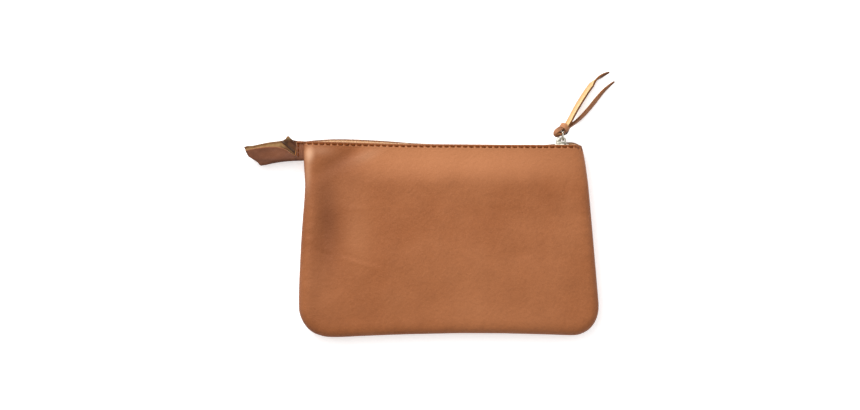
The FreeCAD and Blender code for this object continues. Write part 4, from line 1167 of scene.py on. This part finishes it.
slider_parts = [
    prism_y(outline, 58.32, 59.28), prism_y(outline, 54.72, 55.68),
    rail(1, 57.52, 58.6), rail(-1, 57.52, 58.6), rail(1, 55.4, 56.48), rail(-1, 55.4, 56.48),
    prism_y([(68.2, ZM - 0.15), (69.7, ZM - 0.53), (70.4, ZM - 0.5), (70.4, ZM + 0.5), (69.7, ZM + 0.53), (68.2, ZM + 0.15)], 55.4, 58.6),
]
slider_parts.append(prism_y([(SX - 3.05, ZM - 0.85), (SX - 2.8, ZM - 1.1), (SX + 2.8, ZM - 1.1), (SX + 3.05, ZM - 0.85), (SX + 3.05, ZM + 0.85), (SX + 2.8, ZM + 1.1), (SX - 2.8, ZM + 1.1), (SX - 3.05, ZM + 0.85)], 59.0, 60.6))
slider_ob = bevelled(slider_parts, "slider_plates", (M_SLIDER,), 0.2, 3, DROP)
# the bail: a stamped arch, its hole open across the slider
arch_out = [(63.5, 57.8), (63.55, 60.6), (63.95, 61.4), (64.75, 61.86), (66.5, 61.9), (68.25, 61.86), (69.05, 61.4), (69.45, 60.6), (69.5, 57.8)]
arch_in = [(68.52, 59.25), (68.5, 60.3), (68.3, 60.72), (67.9, 60.88), (67.55, 60.92), (67.2, 60.88), (66.85, 60.72), (66.6, 60.3), (66.58, 59.25)]
n_a = len(arch_out)
quads = []
for i in range(n_a - 1):
    quads.append(prism_z([arch_out[i], arch_out[i + 1], arch_in[n_a - 2 - i], arch_in[n_a - 1 - i]], ZM - 0.8, ZM + 0.8))
bm = bmesh.new()
lay = {}
for z in (ZM - 0.8, ZM + 0.8):
    for kx, p in enumerate(arch_out + arch_in):
        lay[(kx, z)] = bm.verts.new(Vector((p[0], p[1], z)) * MM)
tot = len(arch_out + arch_in)
for i in range(n_a - 1):
    o0, o1, i0, i1 = i, i + 1, tot - 1 - i, tot - 2 - i
    for z in (ZM - 0.8, ZM + 0.8):
        bm.faces.new([lay[(o0, z)], lay[(o1, z)], lay[(i1, z)], lay[(i0, z)]])
for i in range(tot):
    j = (i + 1) % tot
    bm.faces.new([lay[(i, ZM - 0.8)], lay[(j, ZM - 0.8)], lay[(j, ZM + 0.8)], lay[(i, ZM + 0.8)]])
bmesh.ops.recalc_face_normals(bm, faces=bm.faces)
rim = [e for e in bm.edges if abs(e.verts[0].co.z - e.verts[1].co.z) < 1e-6 and len(e.link_faces) == 2 and abs(e.calc_face_angle(0.0)) > 1.0]
bmesh.ops.bevel(bm, geom=rim, offset=0.26 * MM, segments=3, profile=0.5, affect="EDGES", clamp_overlap=True)
me = bpy.data.meshes.new("slider_bail")
bm.to_mesh(me)
bm.free()
bail_ob = bpy.data.objects.new("slider_bail", me)
bpy.context.scene.collection.objects.link(bail_ob)
me.materials.append(M_SLIDER)
for p in me.polygons:
    p.use_smooth = True
for o in (slider_ob, bail_ob):
    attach(o, "slider")
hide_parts("slider_body")

# ------------------------------------------------------------------ pull ring
RING_X, RING_Y, RING_L, RING_W, RING_A = 67.6, 60.1, 5.4, 6.5, math.radians(95.0)
ring_line = []
W2, C2 = RING_W / 2, 1.5
for cx, cz, a0 in ((RING_L - C2, -W2 + C2, -90), (RING_L - C2, W2 - C2, 0), (C2, W2 - C2, 90), (C2, -W2 + C2, 180)):
    for k in range(9):
        a = math.radians(a0 + 90 * k / 8)
        ring_line.append((cx + C2 * math.cos(a), cz + C2 * math.sin(a)))
dense = []
for i in range(len(ring_line)):
    p, q = np.array(ring_line[i]), np.array(ring_line[(i + 1) % len(ring_line)])
    steps = max(1, int(np.linalg.norm(q - p) / 0.5))
    for k in range(steps):
        dense.append(p + (q - p) * k / steps)
dense = np.array(dense)
rv, rf = [], []
for i, p in enumerate(dense):
    tn = dense[(i + 1) % len(dense)] - dense[i - 1]
    tn /= np.linalg.norm(tn)
    nrm = np.array([tn[1], -tn[0]])
    for k in range(14):
        a = 2 * math.pi * k / 14
        l = p[0] + nrm[0] * 0.55 * math.cos(a)
        z = p[1] + nrm[1] * 0.55 * math.cos(a)
        o_ = 0.55 * math.sin(a)
        rv.append((RING_X + l * math.cos(RING_A) - o_ * math.sin(RING_A), RING_Y + l * math.sin(RING_A) + o_ * math.cos(RING_A), ZM + z))
for i in range(len(dense)):
    j = (i + 1) % len(dense)
    for k in range(14):
        k2 = (k + 1) % 14
        rf.append((i * 14 + k, i * 14 + k2, j * 14 + k2, j * 14 + k))
ring_ob = mesh_object("ring_link", rv, rf, (M_SLIDER,))
fix_normals(ring_ob)
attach(ring_ob, "ring")
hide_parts("pull_ring")

# --------------------------------------- the lace's loop and its collar
loop_pts = [(71.4, 70.6, 7.3), (70.9, 68.6, 7.1), (70.4, 66.6, 7.1), (69.6, 65.0, 7.8), (68.0, 64.1, 9.2), (65.8, 63.2, 10.8), (63.6, 62.8, 11.0), (62.6, 64.1, 10.9), (63.8, 65.7, 10.7), (66.2, 67.2, 10.3), (68.4, 69.3, 9.4)]
lp, _ = resample(nurbs_line(loop_pts), 90)


def loop_up(i, s):
    return key(s, [(0.0, (0.75, -0.35, 0.55)), (0.25, (0.85, -0.3, 0.4)), (0.42, (0.3, -0.9, 0.25)), (0.55, (-0.15, -0.85, 0.45)), (0.66, (-0.75, -0.15, 0.6)), (0.78, (-0.45, 0.25, 0.85)), (1.0, (-0.35, 0.35, 0.87))])


# painted shade over the first half of the loop and a painted highlight on its left leg
loop_ob = strap("lace_loop", lp, loop_up, lambda s: 3.0, lambda s: 1.15, LACE_MATS,
                tone=lambda s, cx, cy: (0.85 * float(smooth01((0.5 - s) / 0.2)) + 0.25, 0.55 * float(np.exp(-((s - 0.72) / 0.1) ** 2))))
# the pass that lies under it, deep inside the knot, painted almost wholly in shade
inner_pts = [(67.1, 68.0, 6.9), (65.5, 66.9, 6.5), (64.7, 65.6, 6.3), (65.0, 64.6, 6.3), (66.2, 64.1, 6.4), (67.8, 64.3, 6.5)]
ip, _ = resample(nurbs_line(inner_pts), 50)
inner_ob = strap("lace_loop_inner", ip, lambda i, s: (-0.15, 0.1, 1.0), lambda s: 2.4, lambda s: 1.1, LACE_MATS,
                 tone=lambda s, cx, cy: (0.95, 0.0))
# the collar: the doubled end wrapped over both tails
axis = np.array([0.62, 0.78, -0.05])
axis /= np.linalg.norm(axis)
sidev = np.cross(axis, (0, 0, 1.0))
sidev /= np.linalg.norm(sidev)
upv = np.cross(sidev, axis)
centre = np.array([68.35, 67.75, 8.3])
col = []
for k in range(56):
    a = 2 * math.pi * k / 56
    rad_s, rad_u = 2.35, 2.15
    p = centre + sidev * math.cos(a) * rad_s + upv * math.sin(a) * rad_u + axis * (0.35 * math.sin(a) - 0.25 * math.cos(2 * a))
    col.append(p)
col = np.array(col)
# a painted highlight all round the collar, strongest over its top
collar = strap("lace_collar", col, lambda i, s: (col[i] - centre), lambda s: 3.2, lambda s: 1.2, LACE_MATS, closed=True,
               tone=lambda s, cx, cy: (0.0, 0.35 + 0.6 * float(np.exp(-((s - 0.36) / 0.2) ** 2))))
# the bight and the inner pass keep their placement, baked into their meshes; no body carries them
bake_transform(loop_ob)
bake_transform(inner_ob)
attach(collar, "lace")
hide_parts("lace_hitch")
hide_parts("lace_tail_long")
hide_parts("lace_tail_short")

# ----------------------------------------------------- thread of the side seam
seam_in, _ = None, None
st = []
for s0, s1 in ((0.03, 0.97),):
    q = np.linspace(s0, s1, 240)
    idx = np.clip((q * (len(SEAM) - 1)).astype(int), 1, len(SEAM) - 2)
    tn = SEAM[idx + 1] - SEAM[idx - 1]
    tn /= np.linalg.norm(tn, axis=1)[:, None]
    inn = np.stack([-tn[:, 1], tn[:, 0]], axis=1)
    pp = SEAM[idx] + inn * 4.5
    for i in range(len(pp)):
        st.append((pp[i, 0], pp[i, 1], ZM + 1.6 + 0.06 * math.sin(i * 2.1)))
st = np.array(st)
sv, sf = [], []
tt = frames(st)
for i in range(len(st)):
    sd = np.cross(tt[i], (0, 0, 1.0))
    for k in range(8):
        a = 2 * math.pi * k / 8
        sv.append(st[i] + sd * math.cos(a) * 0.24 + np.array((0, 0, 1.0)) * math.sin(a) * 0.24)
for i in range(len(st) - 1):
    for k in range(8):
        sf.append((i * 8 + k, i * 8 + (k + 1) % 8, (i + 1) * 8 + (k + 1) % 8, (i + 1) * 8 + k))
sf.append(tuple(range(8)))
sf.append(tuple((len(st) - 1) * 8 + k for k in range(8))[::-1])
seam_ob = mesh_object("side_seam_thread", sv, sf, (M_SEAM,))
fix_normals(seam_ob)
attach(seam_ob, "root")
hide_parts("seam_thread")

# -------------------------------------------------------------------- stage
m, nt, bsdf = new_mat("floor_white")
v = coords(nt)
nt.links.new(mix(nt, tex_noise(nt, v, 3.0, 2.0), (0.90, 0.90, 0.90, 1), (0.93, 0.93, 0.93, 1)), bsdf.inputs["Base Color"])
bsdf.inputs["Roughness"].default_value = 0.9
bsdf.inputs["Specular IOR Level"].default_value = 0.1
bsdf.inputs["Emission Color"].default_value = (1.0, 1.0, 1.0, 1.0)
bsdf.inputs["Emission Strength"].default_value = 0.5
fv = [(-3000, -3000, 0), (3000, -3000, 0), (3000, 3000, 0), (-3000, 3000, 0)]
floor = mesh_object("floor", fv, [(0, 1, 2, 3)], (m,), smooth=False)


def area(name, loc, target, size, power, colour=(1, 1, 1), size_y=None):
    l = bpy.data.lights.new(name, "AREA")
    l.energy = power
    l.size = size
    if size_y:
        l.shape = "RECTANGLE"
        l.size_y = size_y
    l.color = colour
    o = bpy.data.objects.new(name, l)
    bpy.context.scene.collection.objects.link(o)
    o.location = loc
    d = Vector(target) - Vector(loc)
    o.rotation_euler = d.to_track_quat("-Z", "Y").to_euler()
    return o


area("key", (-0.62, 1.0, 0.8), (0, 0, 0), 0.55, 14.0, (1.0, 0.985, 0.96))
area("top", (-0.45, 0.55, 1.7), (0, 0, 0), 1.3, 11.0, (1.0, 1.0, 1.0))
area("side", (1.0, 0.3, 0.6), (0, 0, 0), 0.6, 1.6, (0.97, 0.98, 1.0))
w = bpy.data.worlds.new("world")
bpy.context.scene.world = w
w.use_nodes = True
w.node_tree.nodes["Background"].inputs[0].default_value = (1.0, 1.0, 1.0, 1)
w.node_tree.nodes["Background"].inputs[1].default_value = 0.42
bpy.context.scene.view_settings.view_transform = "Standard"
bpy.context.scene.view_settings.look = "None"
